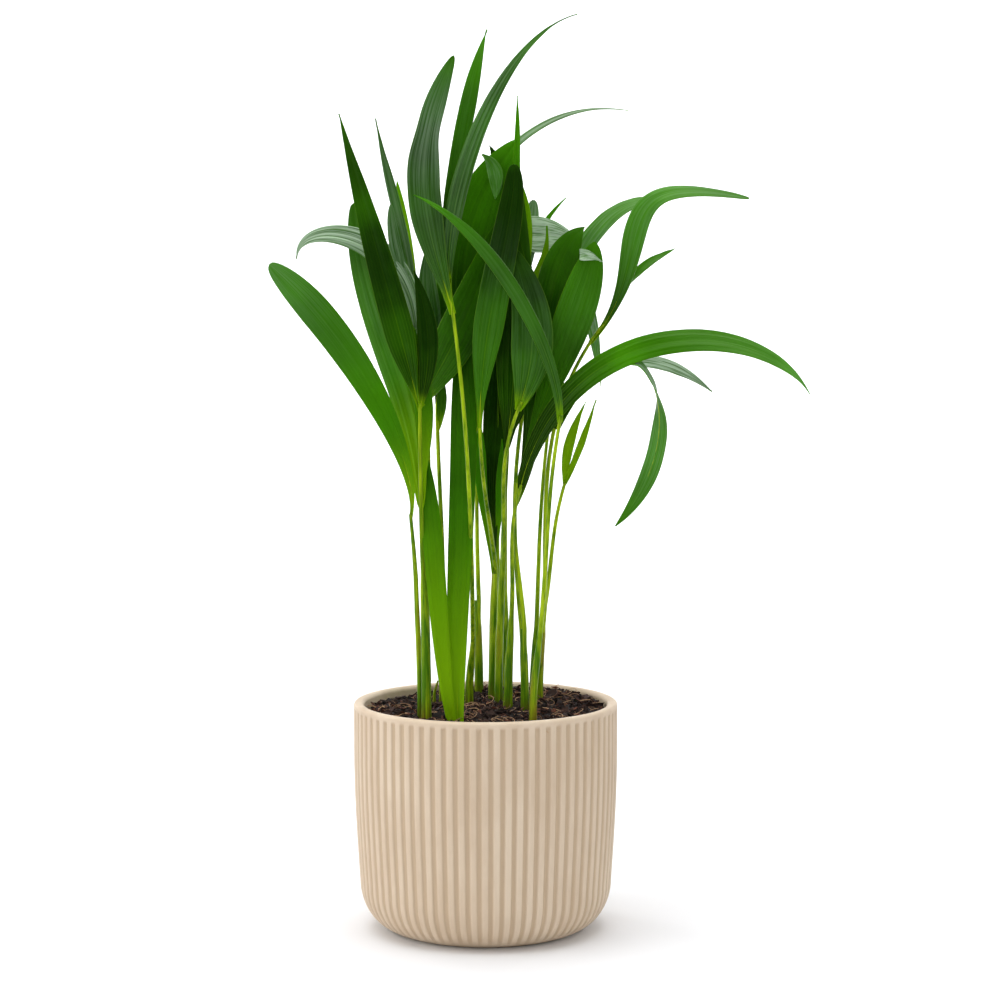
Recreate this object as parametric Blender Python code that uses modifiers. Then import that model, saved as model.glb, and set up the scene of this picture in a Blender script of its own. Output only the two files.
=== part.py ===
# Potted areca palm: a clump of young stems and broad fronds in a ribbed stoneware pot.
# The frame stands on the floor under the middle of the pot, +Z up, and -Y is the front.
# Sizes below are millimetres and degrees; MM turns the sizes into Blender's metres.

import math

import bmesh
import bpy
from mathutils import Vector

MM = 0.001
GAP = 0.3

# Pot
POT_RADIUS = 70.0
POT_HEIGHT = 121.0
WALL = 5.5
RIB_COUNT = 72
STEPS_PER_RIB = 3
RIB_DEPTH = 1.1
RIM_ROUNDING = 1.6
PLAIN_BAND = 3.6
CORNER_RADIUS = 23.0
CORNER_TOP_RADIUS = 66.5
FOOT_RADIUS = 53.0
FOOT_STEP = 1.5
FLOOR_THICKNESS = 8.0

# Soil
SOIL_LEVEL = 118.0
SOIL_FLAT_RADIUS = 57.0
SOIL_EDGE_DROP = 1.2

# Limbs and leaves
STEM_FOOT_RUN = 4.0
STEM_POINTS = 6
STALK_POINTS = 9
STALK_RADIUS = (1.3, 0.9)
SEAT_SHARE = 0.75
LEAF_STEP = 15.0
LEAF_FOLD = 14.0
LEAF_PEAK = 0.42
LEAF_BASE = 0.16
LEAF_BLUNT = 0.9
LEAF_THICKNESS_SHARE = 0.0115
LEAF_MIN_THICKNESS = 1.1
HANDLE = 0.38

# A stem runs from its foot on the soil to its top, and tapers between two radii.
STEMS = {
    "stem_1": {"foot": (-36, -27), "top": (-37, -27, 191), "radius": (1.5, 1.3)},
    "stem_2": {"foot": (-31, -33), "top": (-32, -29, 202), "radius": (2.7, 2.2)},
    "stem_3": {"foot": (-28, 16), "top": (-26, 14, 131), "radius": (0.9, 0.7)},
    "stem_4": {"foot": (-24, 16), "top": (-24, 16, 148), "radius": (1.5, 1.3)},
    "stem_5": {"foot": (-15, -38), "top": (-15, -38, 123), "radius": (3.5, 3.3)},
    "stem_6": {"foot": (-9, 19), "top": (-7, 13, 152), "radius": (1.9, 1.6)},
    "stem_7": {"foot": (-4, 48), "top": (-5, 46, 171), "radius": (2.5, 2.1)},
    "stem_8": {"foot": (4, 32), "top": (5, 29, 190), "radius": (2.7, 2.3)},
    "stem_9": {"foot": (7, 12), "top": (9, 7, 198), "radius": (2.2, 1.9)},
    "stem_10": {"foot": (12, -3), "top": (14, -2, 172), "radius": (2.6, 1.6)},
    "stem_11": {"foot": (21, -6), "top": (20, -5, 162), "radius": (2.3, 2.0)},
    "stem_12": {"foot": (25, -36), "top": (29, -35, 166), "radius": (2.1, 1.7)},
    "stem_13": {"foot": (29, 22), "top": (31, 14, 170), "radius": (2.4, 2.2)},
    "stem_14": {"foot": (-33, 40), "top": (-33, 45, 166), "radius": (2.1, 1.8)},
    "stem_15": {"foot": (10.5, 53), "top": (10.5, 57, 174), "radius": (2.2, 1.9)},
    "stem_16": {"foot": (26, 42), "top": (28, 45, 160), "radius": (1.9, 1.6)},
}

# A heading is (lean, toward): lean turns from upright to the right and toward tips
# out to the front. A stalk runs from its stem's top, at the side that seat names, to
# its own top. A leaf starts at the share "at" of the stalk and runs to its tip. Its
# face is where the upper side looks, (azimuth from the front, height), at both ends.
FRONDS = {
    "frond_top_fan": {
        "stem": "stem_6", "seat": None, "top": (-19, -26, 345),
        "leave": (6, 26), "arrive": (-9, -4), "leaves": [
            {"at": 0.97, "tip": (-17, -34, 463), "leave": (-24, 0), "arrive": (28, 6),
             "width": 16, "face": ((-10, 5), (-20, 10)), "peak": 0.55, "blunt": 0.5,
             "handles": (0.28, 0.33)},
            {"at": 1.0, "tip": (2, -14, 479), "leave": (6, -6), "arrive": (17, 0),
             "width": 10, "face": ((10, 5), (20, 10)), "peak": 0.4,
             "handles": (0.38, 0.33)},
            {"at": 0.98, "tip": (48, -45, 484), "leave": (9, 4), "arrive": (64, 10),
             "width": 11, "face": ((15, 10), (0, 40)), "peak": 0.35, "blunt": 1.1,
             "handles": (0.42, 0.42)},
        ]},
    "frond_front_blade": {
        "stem": "stem_12", "seat": None, "top": (39, -52, 279),
        "leave": (5, 8), "arrive": (13, 8), "leaves": [
            {"at": 0.97, "tip": (-34, -62, 389), "leave": (-3, 8), "arrive": (-66, 0),
             "width": 8, "face": ((15, 10), (20, 40)), "peak": 0.3, "blunt": 1.1},
        ]},
    "frond_right": {
        "stem": "stem_10", "seat": None, "top": (48, -31, 297),
        "leave": (3, 12), "arrive": (50, 6), "leaves": [
            {"at": 0.5, "tip": (88, -12, 311), "leave": (14, 8), "arrive": (104, -12),
             "width": 14, "face": ((-10, 15), (-10, 40)), "handles": (0.5, 0.35)},
            {"at": 0.72, "tip": (166, -60, 290), "leave": (30, 8), "arrive": (142, 8),
             "width": 13, "face": ((0, 20), (-10, 50)), "peak": 0.5,
             "handles": (0.46, 0.42)},
            {"at": 0.97, "tip": (67, -56, 222), "leave": (62, 8), "arrive": (223, 0),
             "width": 8, "face": ((10, 40), (30, 0)), "peak": 0.5,
             "handles": (0.86, 0.55)},
            {"at": 0.9, "tip": (120, 10, 289), "leave": (60, -10), "arrive": (125, -14),
             "width": 9, "face": ((-10, 30), (-10, 30))},
        ]},
    "frond_upper_right": {
        "stem": "stem_13", "seat": -60, "top": (70, 14, 343),
        "leave": (0, 4), "arrive": (30, 0), "leaves": [
            {"at": 0.78, "tip": (140, 5, 391), "leave": (24, 0), "arrive": (108, 4),
             "width": 11, "face": ((-10, 10), (0, 50)), "peak": 0.45,
             "handles": (0.58, 0.5)},
            {"at": 0.97, "tip": (103, 40, 365), "leave": (40, -14), "arrive": (70, -30),
             "width": 4, "face": ((0, 20), (0, 40))},
        ]},
    "frond_behind_right": {
        "stem": "stem_11", "seat": 120, "top": (42, 45, 350),
        "leave": (-6, -8), "arrive": (22, -12), "leaves": [
            {"at": 0.9, "tip": (103, 60, 391), "leave": (30, -8), "arrive": (86, -4),
             "width": 14, "face": ((-10, 30), (-10, 50)), "handles": (0.45, 0.4)},
            {"at": 0.98, "tip": (65, 52, 288), "leave": (50, -6), "arrive": (170, 0),
             "width": 5, "face": ((0, 40), (0, 0)), "handles": (0.35, 0.5)},
        ]},
    "frond_broad_pair": {
        "stem": "stem_11", "seat": -60, "top": (17, -2, 240),
        "leave": (-4, 0), "arrive": (4, 0), "leaves": [
            {"at": 0.85, "tip": (53, 18, 376), "leave": (12, -12), "arrive": (34, -4),
             "width": 19, "face": ((-10, 5), (-20, 15)), "peak": 0.7, "blunt": 0.35},
            {"at": 0.9, "tip": (58, 2, 366), "leave": (26, 0), "arrive": (8, 0),
             "width": 27, "face": ((0, 5), (5, 15)), "peak": 0.75, "blunt": 0.25},
        ]},
    "frond_behind_centre": {
        "stem": "stem_7", "seat": -50, "top": (-7, 32, 262),
        "leave": (-2, 8), "arrive": (0, 6), "leaves": [
            {"at": 0.9, "tip": (-3, 23, 418), "leave": (-6, 4), "arrive": (-10, 0),
             "width": 14, "face": ((0, 0), (0, 20))},
            {"at": 0.97, "tip": (4, 26, 420), "leave": (6, -4), "arrive": (-4, 4),
             "width": 10, "face": ((20, 0), (20, 10))},
        ]},
    "frond_left": {
        "stem": "stem_2", "seat": -120, "top": (-34, -31, 284),
        "leave": (-2, 2), "arrive": (0, 0), "leaves": [
            {"at": 0.97, "tip": (-77, -24, 433), "leave": (-16, 0), "arrive": (-18, -4),
             "width": 17, "face": ((-10, 0), (-10, 10)), "peak": 0.3},
            {"at": 0.85, "tip": (-71, 0, 389), "leave": (-23, -10), "arrive": (-4, -4),
             "width": 14, "face": ((-20, 0), (-20, 10)), "peak": 0.7, "blunt": 0.3},
            {"at": 1.0, "tip": (-37, -29, 353), "leave": (10, 2), "arrive": (-14, 0),
             "width": 10, "face": ((10, 0), (10, 0))},
            {"at": 0.99, "tip": (18, 17, 421), "leave": (24, -36), "arrive": (32, -2),
             "width": 21, "face": ((25, 0), (15, 10)), "blunt": 0.7},
        ]},
    "frond_far_left": {
        "stem": "stem_1", "seat": None, "top": (-44, -38, 254),
        "leave": (-3, 6), "arrive": (-14, 12), "leaves": [
            {"at": 0.94, "tip": (-109, -72, 355), "leave": (-20, 14), "arrive": (-50, 14),
             "width": 19, "face": ((0, 10), (0, 30)), "peak": 0.65, "blunt": 0.32,
             "handles": (0.3, 0.36)},
        ]},
    "frond_arching_left": {
        "stem": "stem_2", "seat": 60, "top": (-38, -2, 314),
        "leave": (-2, -10), "arrive": (-6, -8), "leaves": [
            {"at": 0.95, "tip": (-101, 24, 361), "leave": (-10, -10), "arrive": (-158, -2),
             "width": 12, "face": ((0, 0), (0, 60)), "peak": 0.3,
             "handles": (0.6, 0.43)},
            {"at": 0.98, "tip": (-60, 20, 434), "leave": (-13, -8), "arrive": (-17, 0),
             "width": 7, "face": ((0, 10), (0, 10)), "blunt": 1.2},
            {"at": 1.0, "tip": (-48, 32, 400), "leave": (-2, -16), "arrive": (-12, -14),
             "width": 7, "face": ((0, 10), (0, 10))},
        ]},
    "frond_front_pair": {
        "stem": "stem_5", "seat": None, "top": (-16, -38, 150),
        "leave": (0, 0), "arrive": (-2, 0), "leaves": [
            {"at": 0.06, "tip": (-32, -6, 284), "leave": (-11, -12), "arrive": (-1, -12),
             "width": 12, "face": ((0, 0), (0, 0)), "base": 0.55, "peak": 0.45},
            {"at": 0.08, "tip": (-16, 14, 322), "leave": (1, -8), "arrive": (-4, -20),
             "width": 10, "face": ((0, 0), (0, 0)), "base": 0.6, "peak": 0.4},
        ]},
    "frond_pale_centre": {
        "stem": "stem_8", "seat": -80, "top": (-3, 10, 258),
        "leave": (-5, 6), "arrive": (-10, 8), "leaves": [
            {"at": 0.9, "tip": (16, -10, 407), "leave": (0, 6), "arrive": (18, 2),
             "width": 17, "face": ((0, 0), (5, 10)), "peak": 0.5, "blunt": 0.6},
        ]},
    "frond_ribbed_centre": {
        "stem": "stem_9", "seat": -60, "top": (27, -14, 314),
        "leave": (2, 6), "arrive": (24, 6), "leaves": [
            {"at": 0.55, "tip": (19, 5, 404), "leave": (6, -8), "arrive": (-2, 0),
             "width": 16, "face": ((10, 0), (0, 10)), "peak": 0.5, "blunt": 0.6},
            {"at": 0.7, "tip": (37, -10, 336), "leave": (34, 2), "arrive": (10, -4),
             "width": 15, "face": ((0, 0), (0, 10)), "peak": 0.5, "blunt": 0.5},
        ]},
    "frond_small": {
        "stem": "stem_13", "seat": 60, "top": (43, 24, 238),
        "leave": (14, -6), "arrive": (15, -4), "leaves": [
            {"at": 0.97, "tip": (54, 20, 282), "leave": (0, 4), "arrive": (30, 6),
             "width": 7, "face": ((0, 0), (0, 0)), "peak": 0.4},
            {"at": 0.99, "tip": (60, 30, 283), "leave": (24, -6), "arrive": (22, -8),
             "width": 5.5, "face": ((0, 0), (0, 0)), "peak": 0.4},
        ]},
    "frond_spear": {
        "stem": "stem_8", "seat": 30, "top": (7, 27, 262),
        "leave": (-2, 2), "arrive": (2, 2), "leaves": [
            {"at": 0.97, "tip": (17, 20, 445), "leave": (2, 2), "arrive": (2, 0),
             "width": 9, "face": ((10, 0), (10, 10)), "peak": 0.3, "blunt": 1.2},
        ]},
    "frond_silvery": {
        "stem": "stem_9", "seat": 90, "top": (15, 30, 325),
        "leave": (2, -14), "arrive": (2, -6), "leaves": [
            {"at": 0.97, "tip": (50, 42, 352), "leave": (4, -2), "arrive": (150, -8),
             "width": 14, "face": ((0, 0), (0, 40)), "handles": (1.5, 0.9)},
            {"at": 1.0, "tip": (45, 60, 393), "leave": (12, -16), "arrive": (42, -20),
             "width": 4.5, "face": ((0, 0), (0, 0))},
            {"at": 1.0, "tip": (28, 50, 391), "leave": (4, -14), "arrive": (6, -6),
             "width": 8, "face": ((0, 0), (0, 0)), "peak": 0.6, "blunt": 0.5},
            {"at": 1.0, "tip": (32, 34, 376), "leave": (22, -2), "arrive": (-6, 0),
             "width": 4.5, "face": ((0, 0), (0, 0))},
        ]},
    "frond_long_arch": {
        "stem": "stem_4", "seat": None, "top": (-18, 30, 366),
        "leave": (3, -2), "arrive": (12, -4), "leaves": [
            {"at": 0.97, "tip": (76, 50, 439), "leave": (12, -6), "arrive": (98, -8),
             "width": 4.5, "face": ((0, 20), (0, 50)), "peak": 0.3},
        ]},
}

# The back of the crown: each frond is a fan of arching leaves. Turns are azimuths from
# the front, so 180 is straight back. Reach and rise give the first and the last leaf.
BACK_FANS = {
    "frond_back_left": {
        "stem": "stem_14", "top": (-33, 54, 282), "leave": (0, -2), "arrive": (-4, -6),
        "turns": (214, 176), "reach": (66, 84), "rise": (34, 66), "width": 15},
    "frond_back_centre": {
        "stem": "stem_15", "top": (11, 68, 296), "leave": (0, -2), "arrive": (0, -8),
        "turns": (206, 158), "reach": (78, 82), "rise": (76, 34), "width": 16},
    "frond_back_right": {
        "stem": "stem_16", "top": (36, 60, 276), "leave": (2, -4), "arrive": (8, -6),
        "turns": (174, 128), "reach": (86, 58), "rise": (30, 56), "width": 14},
}
BACK_LEAF_COUNT = 3
BACK_LEAF_LIFT = 0.42
BACK_LEAF_DROOP = 0.35


def heading(lean, toward):
    level = math.cos(math.radians(toward))
    return Vector((level * math.sin(math.radians(lean)),
                   -math.sin(math.radians(toward)),
                   level * math.cos(math.radians(lean))))


def facing(azimuth, height):
    level = math.cos(math.radians(height))
    return Vector((level * math.sin(math.radians(azimuth)),
                   -level * math.cos(math.radians(azimuth)),
                   math.sin(math.radians(height))))


class Bend:
    # A smooth run between two ends, each with its own heading.
    def __init__(self, start, leave, end, arrive, handles=(HANDLE, HANDLE)):
        reach = (end - start).length
        self.points = (start, start + leave * reach * handles[0],
                       end - arrive * reach * handles[1], end)

    def at(self, share):
        a, b, c, d = self.points
        rest = 1.0 - share
        return (a * rest ** 3 + b * 3 * rest ** 2 * share
                + c * 3 * rest * share ** 2 + d * share ** 3)

    def along(self, share):
        a, b, c, d = self.points
        rest = 1.0 - share
        slope = ((b - a) * rest ** 2 + (c - b) * 2 * rest * share + (d - c) * share ** 2)
        return slope.normalized()

    def length(self, pieces=24):
        spots = [self.at(k / pieces) for k in range(pieces + 1)]
        return sum((q - p).length for p, q in zip(spots, spots[1:]))


def clear_scene():
    for item in list(bpy.data.objects):
        bpy.data.objects.remove(item, do_unlink=True)


def new_collection(name):
    group = bpy.data.collections.new(name)
    bpy.context.scene.collection.children.link(group)
    return group


def make_material(name, colour, roughness):
    material = bpy.data.materials.new(name)
    material.use_nodes = True
    shader = material.node_tree.nodes["Principled BSDF"]
    shader.inputs["Base Color"].default_value = (*colour, 1.0)
    shader.inputs["Roughness"].default_value = roughness
    material.diffuse_color = (*colour, 1.0)
    return material


def new_object(name, mesh, group, material=None):
    item = bpy.data.objects.new(name, mesh)
    group.objects.link(item)
    if material is not None:
        mesh.materials.clear()
        mesh.materials.append(material)
    return item


def mesh_from(name, build):
    # Fills a new mesh by the given function and turns its faces outward.
    form = bmesh.new()
    build(form)
    bmesh.ops.recalc_face_normals(form, faces=form.faces)
    bmesh.ops.triangulate(form, faces=form.faces)
    mesh = bpy.data.meshes.new(name)
    form.to_mesh(mesh)
    form.free()
    return mesh


def bake(item, weld=False):
    # Gives the object its evaluated shape as a plain mesh, with no modifiers left.
    graph = bpy.context.evaluated_depsgraph_get()
    mesh = bpy.data.meshes.new_from_object(item.evaluated_get(graph))
    if weld:
        form = bmesh.new()
        form.from_mesh(mesh)
        bmesh.ops.remove_doubles(form, verts=form.verts, dist=0.01 * MM)
        bmesh.ops.recalc_face_normals(form, faces=form.faces)
        bmesh.ops.triangulate(form, faces=form.faces)
        form.to_mesh(mesh)
        form.free()
    return mesh


def turned(name, profile, steps, group):
    # Turns a profile of (radius, height) points, listed from top to bottom.
    mesh = bpy.data.meshes.new(name)
    points = [(radius * MM, 0.0, height * MM) for radius, height in profile]
    edges = [(k, k + 1) for k in range(len(points) - 1)]
    mesh.from_pydata(points, edges, [])
    item = new_object(name, mesh, group)
    screw = item.modifiers.new("turn", "SCREW")
    screw.steps = steps
    screw.render_steps = steps
    screw.use_merge_vertices = True
    screw.merge_threshold = 0.00005
    solid = bake(item, weld=True)
    item.modifiers.clear()
    item.data = solid
    bpy.data.meshes.remove(mesh)
    return item


def corner_radius_at(height):
    # The pot's outer radius where its side rounds in to the foot.
    drop = CORNER_RADIUS - height
    return CORNER_TOP_RADIUS - CORNER_RADIUS + math.sqrt(CORNER_RADIUS ** 2 - drop ** 2)


def wall_radius_at(height):
    if height < CORNER_RADIUS:
        return corner_radius_at(height)
    rise = min(1.0, (height - CORNER_RADIUS) / (0.75 * (POT_HEIGHT - CORNER_RADIUS)))
    return CORNER_TOP_RADIUS + (POT_RADIUS - CORNER_TOP_RADIUS) * math.sin(rise * math.pi / 2)


def rib_depth_at(height):
    top = POT_HEIGHT - PLAIN_BAND
    fade_top = min(1.0, max(0.0, (top - height) / 1.2))
    fade_foot = min(1.0, max(0.0, (height - FOOT_STEP) / 3.0))
    return RIB_DEPTH * fade_top * fade_foot


def make_pot(group, cutters, material):
    top = POT_HEIGHT
    heights = [top - PLAIN_BAND, top - PLAIN_BAND - 1.3, 78.0, 48.0, CORNER_RADIUS, 12.0, 5.5,
               FOOT_STEP + 0.3]
    profile = [(0.0, top), (POT_RADIUS - RIM_ROUNDING, top), (POT_RADIUS, top - RIM_ROUNDING)]
    profile += [(wall_radius_at(height), height) for height in heights]
    profile += [(FOOT_RADIUS, FOOT_STEP * 0.5), (FOOT_RADIUS, 0.0), (0.0, 0.0)]
    pot = turned("pot", profile, RIB_COUNT * STEPS_PER_RIB, group)
    for vertex in pot.data.vertices:
        radius = math.hypot(vertex.co.x, vertex.co.y)
        if radius < 0.5 * FOOT_RADIUS * MM:
            continue
        step = math.atan2(vertex.co.y, vertex.co.x) / (2 * math.pi) * RIB_COUNT * STEPS_PER_RIB
        if round(step) % STEPS_PER_RIB == 0:
            depth = rib_depth_at(vertex.co.z / MM) * MM
            vertex.co.x *= (radius - depth) / radius
            vertex.co.y *= (radius - depth) / radius
    cavity_profile = [(0.0, top + 5.0)]
    for height in (top + 5.0, 60.0, CORNER_RADIUS, 13.0, FLOOR_THICKNESS):
        cavity_profile.append((wall_radius_at(min(height, top)) - WALL, height))
    cavity_profile.append((0.0, FLOOR_THICKNESS))
    cavity = turned("pot_cavity", cavity_profile, RIB_COUNT, cutters)
    cavity.hide_render = True
    cavity.display_type = "WIRE"
    cut = pot.modifiers.new("cavity", "BOOLEAN")
    cut.operation = "DIFFERENCE"
    cut.object = cavity
    pot.data.materials.append(material)
    pot.data.shade_smooth()
    pot.data.set_sharp_from_angle(angle=math.radians(35))
    return pot


def make_soil(group, material):
    edge = wall_radius_at(POT_HEIGHT) - WALL - GAP
    edge_level = SOIL_LEVEL - SOIL_EDGE_DROP
    profile = [(0.0, SOIL_LEVEL), (SOIL_FLAT_RADIUS, SOIL_LEVEL), (edge, edge_level)]
    for height in (60.0, CORNER_RADIUS, 13.0, FLOOR_THICKNESS + GAP):
        profile.append((wall_radius_at(height) - WALL - GAP, height))
    profile.append((0.0, FLOOR_THICKNESS + GAP))
    soil = turned("soil", profile, RIB_COUNT, group)
    soil.data.materials.append(material)
    return soil


def make_limb(name, spots, radii, sides_level, group, material):
    # A round tapering limb through the given spots, as a welded mesh.
    path = bpy.data.curves.new(name + "_path", "CURVE")
    path.dimensions = "3D"
    path.bevel_depth = MM
    path.bevel_resolution = sides_level
    path.use_fill_caps = True
    run = path.splines.new("POLY")
    run.points.add(len(spots) - 1)
    for point, spot, radius in zip(run.points, spots, radii):
        point.co = (*(spot * MM), 1.0)
        point.radius = radius
    guide = new_object(name + "_guide", path, group)
    mesh = bake(guide, weld=True)
    mesh.name = name
    limb = new_object(name, mesh, group, material)
    limb.matrix_world = guide.matrix_world
    bpy.data.objects.remove(guide, do_unlink=True)
    bpy.data.curves.remove(path)
    return limb


def stem_bend(stem):
    foot = Vector((*stem["foot"], SOIL_LEVEL + GAP + STEM_FOOT_RUN))
    top = Vector(stem["top"])
    lean = (top - foot).normalized()
    return Bend(foot, Vector((0, 0, 1)), top, lean)


def make_stem(name, stem, group, material):
    # The first two spots stand plumb over each other, so the cut at the soil is level.
    bend = stem_bend(stem)
    spots = [Vector((*stem["foot"], SOIL_LEVEL + GAP))]
    spots += [bend.at(k / (STEM_POINTS - 1)) for k in range(STEM_POINTS)]
    wide, narrow = stem["radius"]
    total = spots[-1].z - spots[0].z
    radii = [wide + (narrow - wide) * (spot.z - spots[0].z) / total for spot in spots]
    return make_limb(name, spots, radii, 2, group, material)


def stalk_bend(frond):
    # The stalk sits on its stem's top, in the middle or beside the stem's other stalk.
    stem = STEMS[frond["stem"]]
    along = stem_bend(stem).along(1.0)
    leave = heading(*frond["leave"])
    tilt = along.cross(leave).length
    start = Vector(stem["top"]) + along * (GAP + STALK_RADIUS[0] * tilt)
    if frond["seat"] is not None:
        angle = math.radians(frond["seat"])
        ring = stem["radius"][1] * SEAT_SHARE
        start += Vector((math.cos(angle) * ring, math.sin(angle) * ring, 0.0))
    return Bend(start, leave, Vector(frond["top"]), heading(*frond["arrive"]))


def leaf_share(leaf, share):
    # Half width of a leaf as a share of its greatest: a narrow root, a peak and a tip.
    peak = leaf.get("peak", LEAF_PEAK)
    base = leaf.get("base", LEAF_BASE)
    if share < peak:
        return base + (1.0 - base) * math.sin(share / peak * math.pi / 2)
    return math.cos((share - peak) / (1.0 - peak) * math.pi / 2) ** leaf.get("blunt", LEAF_BLUNT)


def lean_and_toward(direction):
    # The (lean, toward) pair that heading turns into the given direction.
    way = direction.normalized()
    return math.degrees(math.atan2(way.x, way.z)), math.degrees(math.asin(-way.y))


def fan_frond(fan):
    # Spreads a back frond's leaves evenly between its first and its last turn.
    leaves = []
    for k in range(BACK_LEAF_COUNT):
        share = k / (BACK_LEAF_COUNT - 1)
        turn, reach, rise = (first + (last - first) * share
                             for first, last in (fan["turns"], fan["reach"], fan["rise"]))
        out = facing(turn, 0)
        up = Vector((0, 0, 1))
        tip = Vector(fan["top"]) + out * reach + up * rise
        leaves.append({
            "at": 0.95, "tip": tuple(tip), "width": fan["width"], "peak": 0.5,
            "leave": lean_and_toward(up + out * BACK_LEAF_LIFT),
            "arrive": lean_and_toward(out - up * BACK_LEAF_DROOP),
            "face": ((turn - 180, 20), (turn - 180, 70))})
    return {**fan, "seat": None, "leaves": leaves}


def leaf_bend(leaf, stalk):
    start = stalk.at(leaf["at"])
    return Bend(start, heading(*leaf["leave"]), Vector(leaf["tip"]), heading(*leaf["arrive"]),
                leaf.get("handles", (HANDLE, HANDLE)))


def add_leaf(form, leaf, stalk):
    # Lofts a thin folded blade: each section has two edges and the two sides of the rib.
    bend = leaf_bend(leaf, stalk)
    length = bend.length()
    thickness = max(LEAF_MIN_THICKNESS, length * LEAF_THICKNESS_SHARE)
    count = max(5, round(length / LEAF_STEP))
    (start_azimuth, start_height), (end_azimuth, end_height) = leaf["face"]
    fold = math.radians(LEAF_FOLD)
    sections = []
    for k in range(count):
        share = k / count
        spot = bend.at(share)
        look = facing(start_azimuth + (end_azimuth - start_azimuth) * share,
                      start_height + (end_height - start_height) * share)
        across = bend.along(share).cross(look).normalized()
        up = across.cross(bend.along(share))
        half = 0.5 * leaf["width"] * leaf_share(leaf, share)
        rise = up * half * math.sin(fold)
        side = across * half * math.cos(fold)
        body = up * 0.5 * thickness * (1.0 - 0.6 * share)
        ring = [spot - side + rise, spot - body, spot + side + rise, spot + body]
        sections.append([form.verts.new(corner * MM) for corner in ring])
    tip = form.verts.new(bend.at(1.0) * MM)
    form.faces.new(sections[0])
    for low, high in zip(sections, sections[1:]):
        for k in range(4):
            form.faces.new((low[k - 1], low[k], high[k], high[k - 1]))
    for k in range(4):
        form.faces.new((sections[-1][k - 1], sections[-1][k], tip))


def make_frond(name, frond, group, material):
    # A stalk with its leaves, joined into one body.
    stalk = stalk_bend(frond)
    spots = [stalk.at(k / (STALK_POINTS - 1)) for k in range(STALK_POINTS)]
    wide, narrow = STALK_RADIUS
    radii = [wide + (narrow - wide) * k / (STALK_POINTS - 1) for k in range(STALK_POINTS)]
    limb = make_limb(name, spots, radii, 1, group, material)
    blades = new_collection(name + "_blades")
    for number, leaf in enumerate(frond["leaves"], start=1):
        mesh = mesh_from(f"{name}_blade_{number}", lambda form: add_leaf(form, leaf, stalk))
        new_object(mesh.name, mesh, blades)
    join = limb.modifiers.new("blades", "BOOLEAN")
    join.operation = "UNION"
    join.operand_type = "COLLECTION"
    join.collection = blades
    joined = bake(limb)
    limb.modifiers.clear()
    limb.data = joined
    for blade in list(blades.objects):
        bpy.data.objects.remove(blade, do_unlink=True)
    bpy.data.collections.remove(blades)
    return limb


def main():
    clear_scene()
    palm = new_collection("Potted areca palm")
    cutters = new_collection("Cutters")
    stoneware = make_material("Matt beige stoneware", (0.56, 0.45, 0.33), 0.6)
    earth = make_material("Dark potting soil", (0.030, 0.018, 0.012), 0.95)
    stem_green = make_material("Green stem sheath", (0.22, 0.33, 0.06), 0.5)
    leaf_green = make_material("Glossy palm leaf", (0.045, 0.16, 0.012), 0.4)
    make_pot(palm, cutters, stoneware)
    make_soil(palm, earth)
    for name, stem in STEMS.items():
        make_stem(name, stem, palm, stem_green)
    for name, frond in FRONDS.items():
        make_frond(name, frond, palm, leaf_green)
    for name, fan in BACK_FANS.items():
        make_frond(name, fan_frond(fan), palm, leaf_green)


main()
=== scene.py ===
import math
import random

import bmesh
import bpy
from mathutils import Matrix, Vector, noise


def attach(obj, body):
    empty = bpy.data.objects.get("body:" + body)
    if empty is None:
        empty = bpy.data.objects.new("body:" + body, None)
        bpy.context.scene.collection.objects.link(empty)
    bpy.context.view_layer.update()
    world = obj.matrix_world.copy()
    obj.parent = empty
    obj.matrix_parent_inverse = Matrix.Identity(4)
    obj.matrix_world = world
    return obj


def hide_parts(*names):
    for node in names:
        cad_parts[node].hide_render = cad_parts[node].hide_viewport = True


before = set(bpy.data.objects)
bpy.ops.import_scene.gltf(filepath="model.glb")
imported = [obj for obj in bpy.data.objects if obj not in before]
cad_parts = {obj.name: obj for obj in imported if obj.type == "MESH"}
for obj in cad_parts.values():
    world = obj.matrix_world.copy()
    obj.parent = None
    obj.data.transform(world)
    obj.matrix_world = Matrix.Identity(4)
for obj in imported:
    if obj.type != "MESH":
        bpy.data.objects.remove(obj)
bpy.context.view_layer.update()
mm = 0.001
print("frame loaded:", len(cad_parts), "nodes")


# small helpers

def hexToLinear(code):
    parts = [int(code[k:k + 2], 16) / 255 for k in (1, 3, 5)]
    return tuple(c / 12.92 if c <= 0.04045 else ((c + 0.055) / 1.055) ** 2.4 for c in parts) + (1.0,)


def addNode(tree, kind, inputs=None, **settings):
    # Adds a node, sets its options, and fills its inputs with values or with links.
    node = tree.nodes.new(kind)
    for name, value in settings.items():
        setattr(node, name, value)
    for key, value in (inputs or {}).items():
        if isinstance(value, bpy.types.NodeSocket):
            tree.links.new(value, node.inputs[key])
        else:
            node.inputs[key].default_value = value
    return node


def newTree(name, inputs):
    # A geometry tree with named inputs, given as (name, kind, default).
    tree = bpy.data.node_groups.new(name, "GeometryNodeTree")
    tree.interface.new_socket("Geometry", in_out="INPUT", socket_type="NodeSocketGeometry")
    tree.interface.new_socket("Geometry", in_out="OUTPUT", socket_type="NodeSocketGeometry")
    for label, kind, value in inputs:
        socket = tree.interface.new_socket(label, in_out="INPUT", socket_type="NodeSocket" + kind)
        if value is not None:
            socket.default_value = value
    return tree, addNode(tree, "NodeGroupInput"), addNode(tree, "NodeGroupOutput")


def newItem(name, mesh, *materials):
    item = bpy.data.objects.new(name, mesh)
    bpy.context.scene.collection.objects.link(item)
    for material in materials:
        mesh.materials.append(material)
    return item


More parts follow.
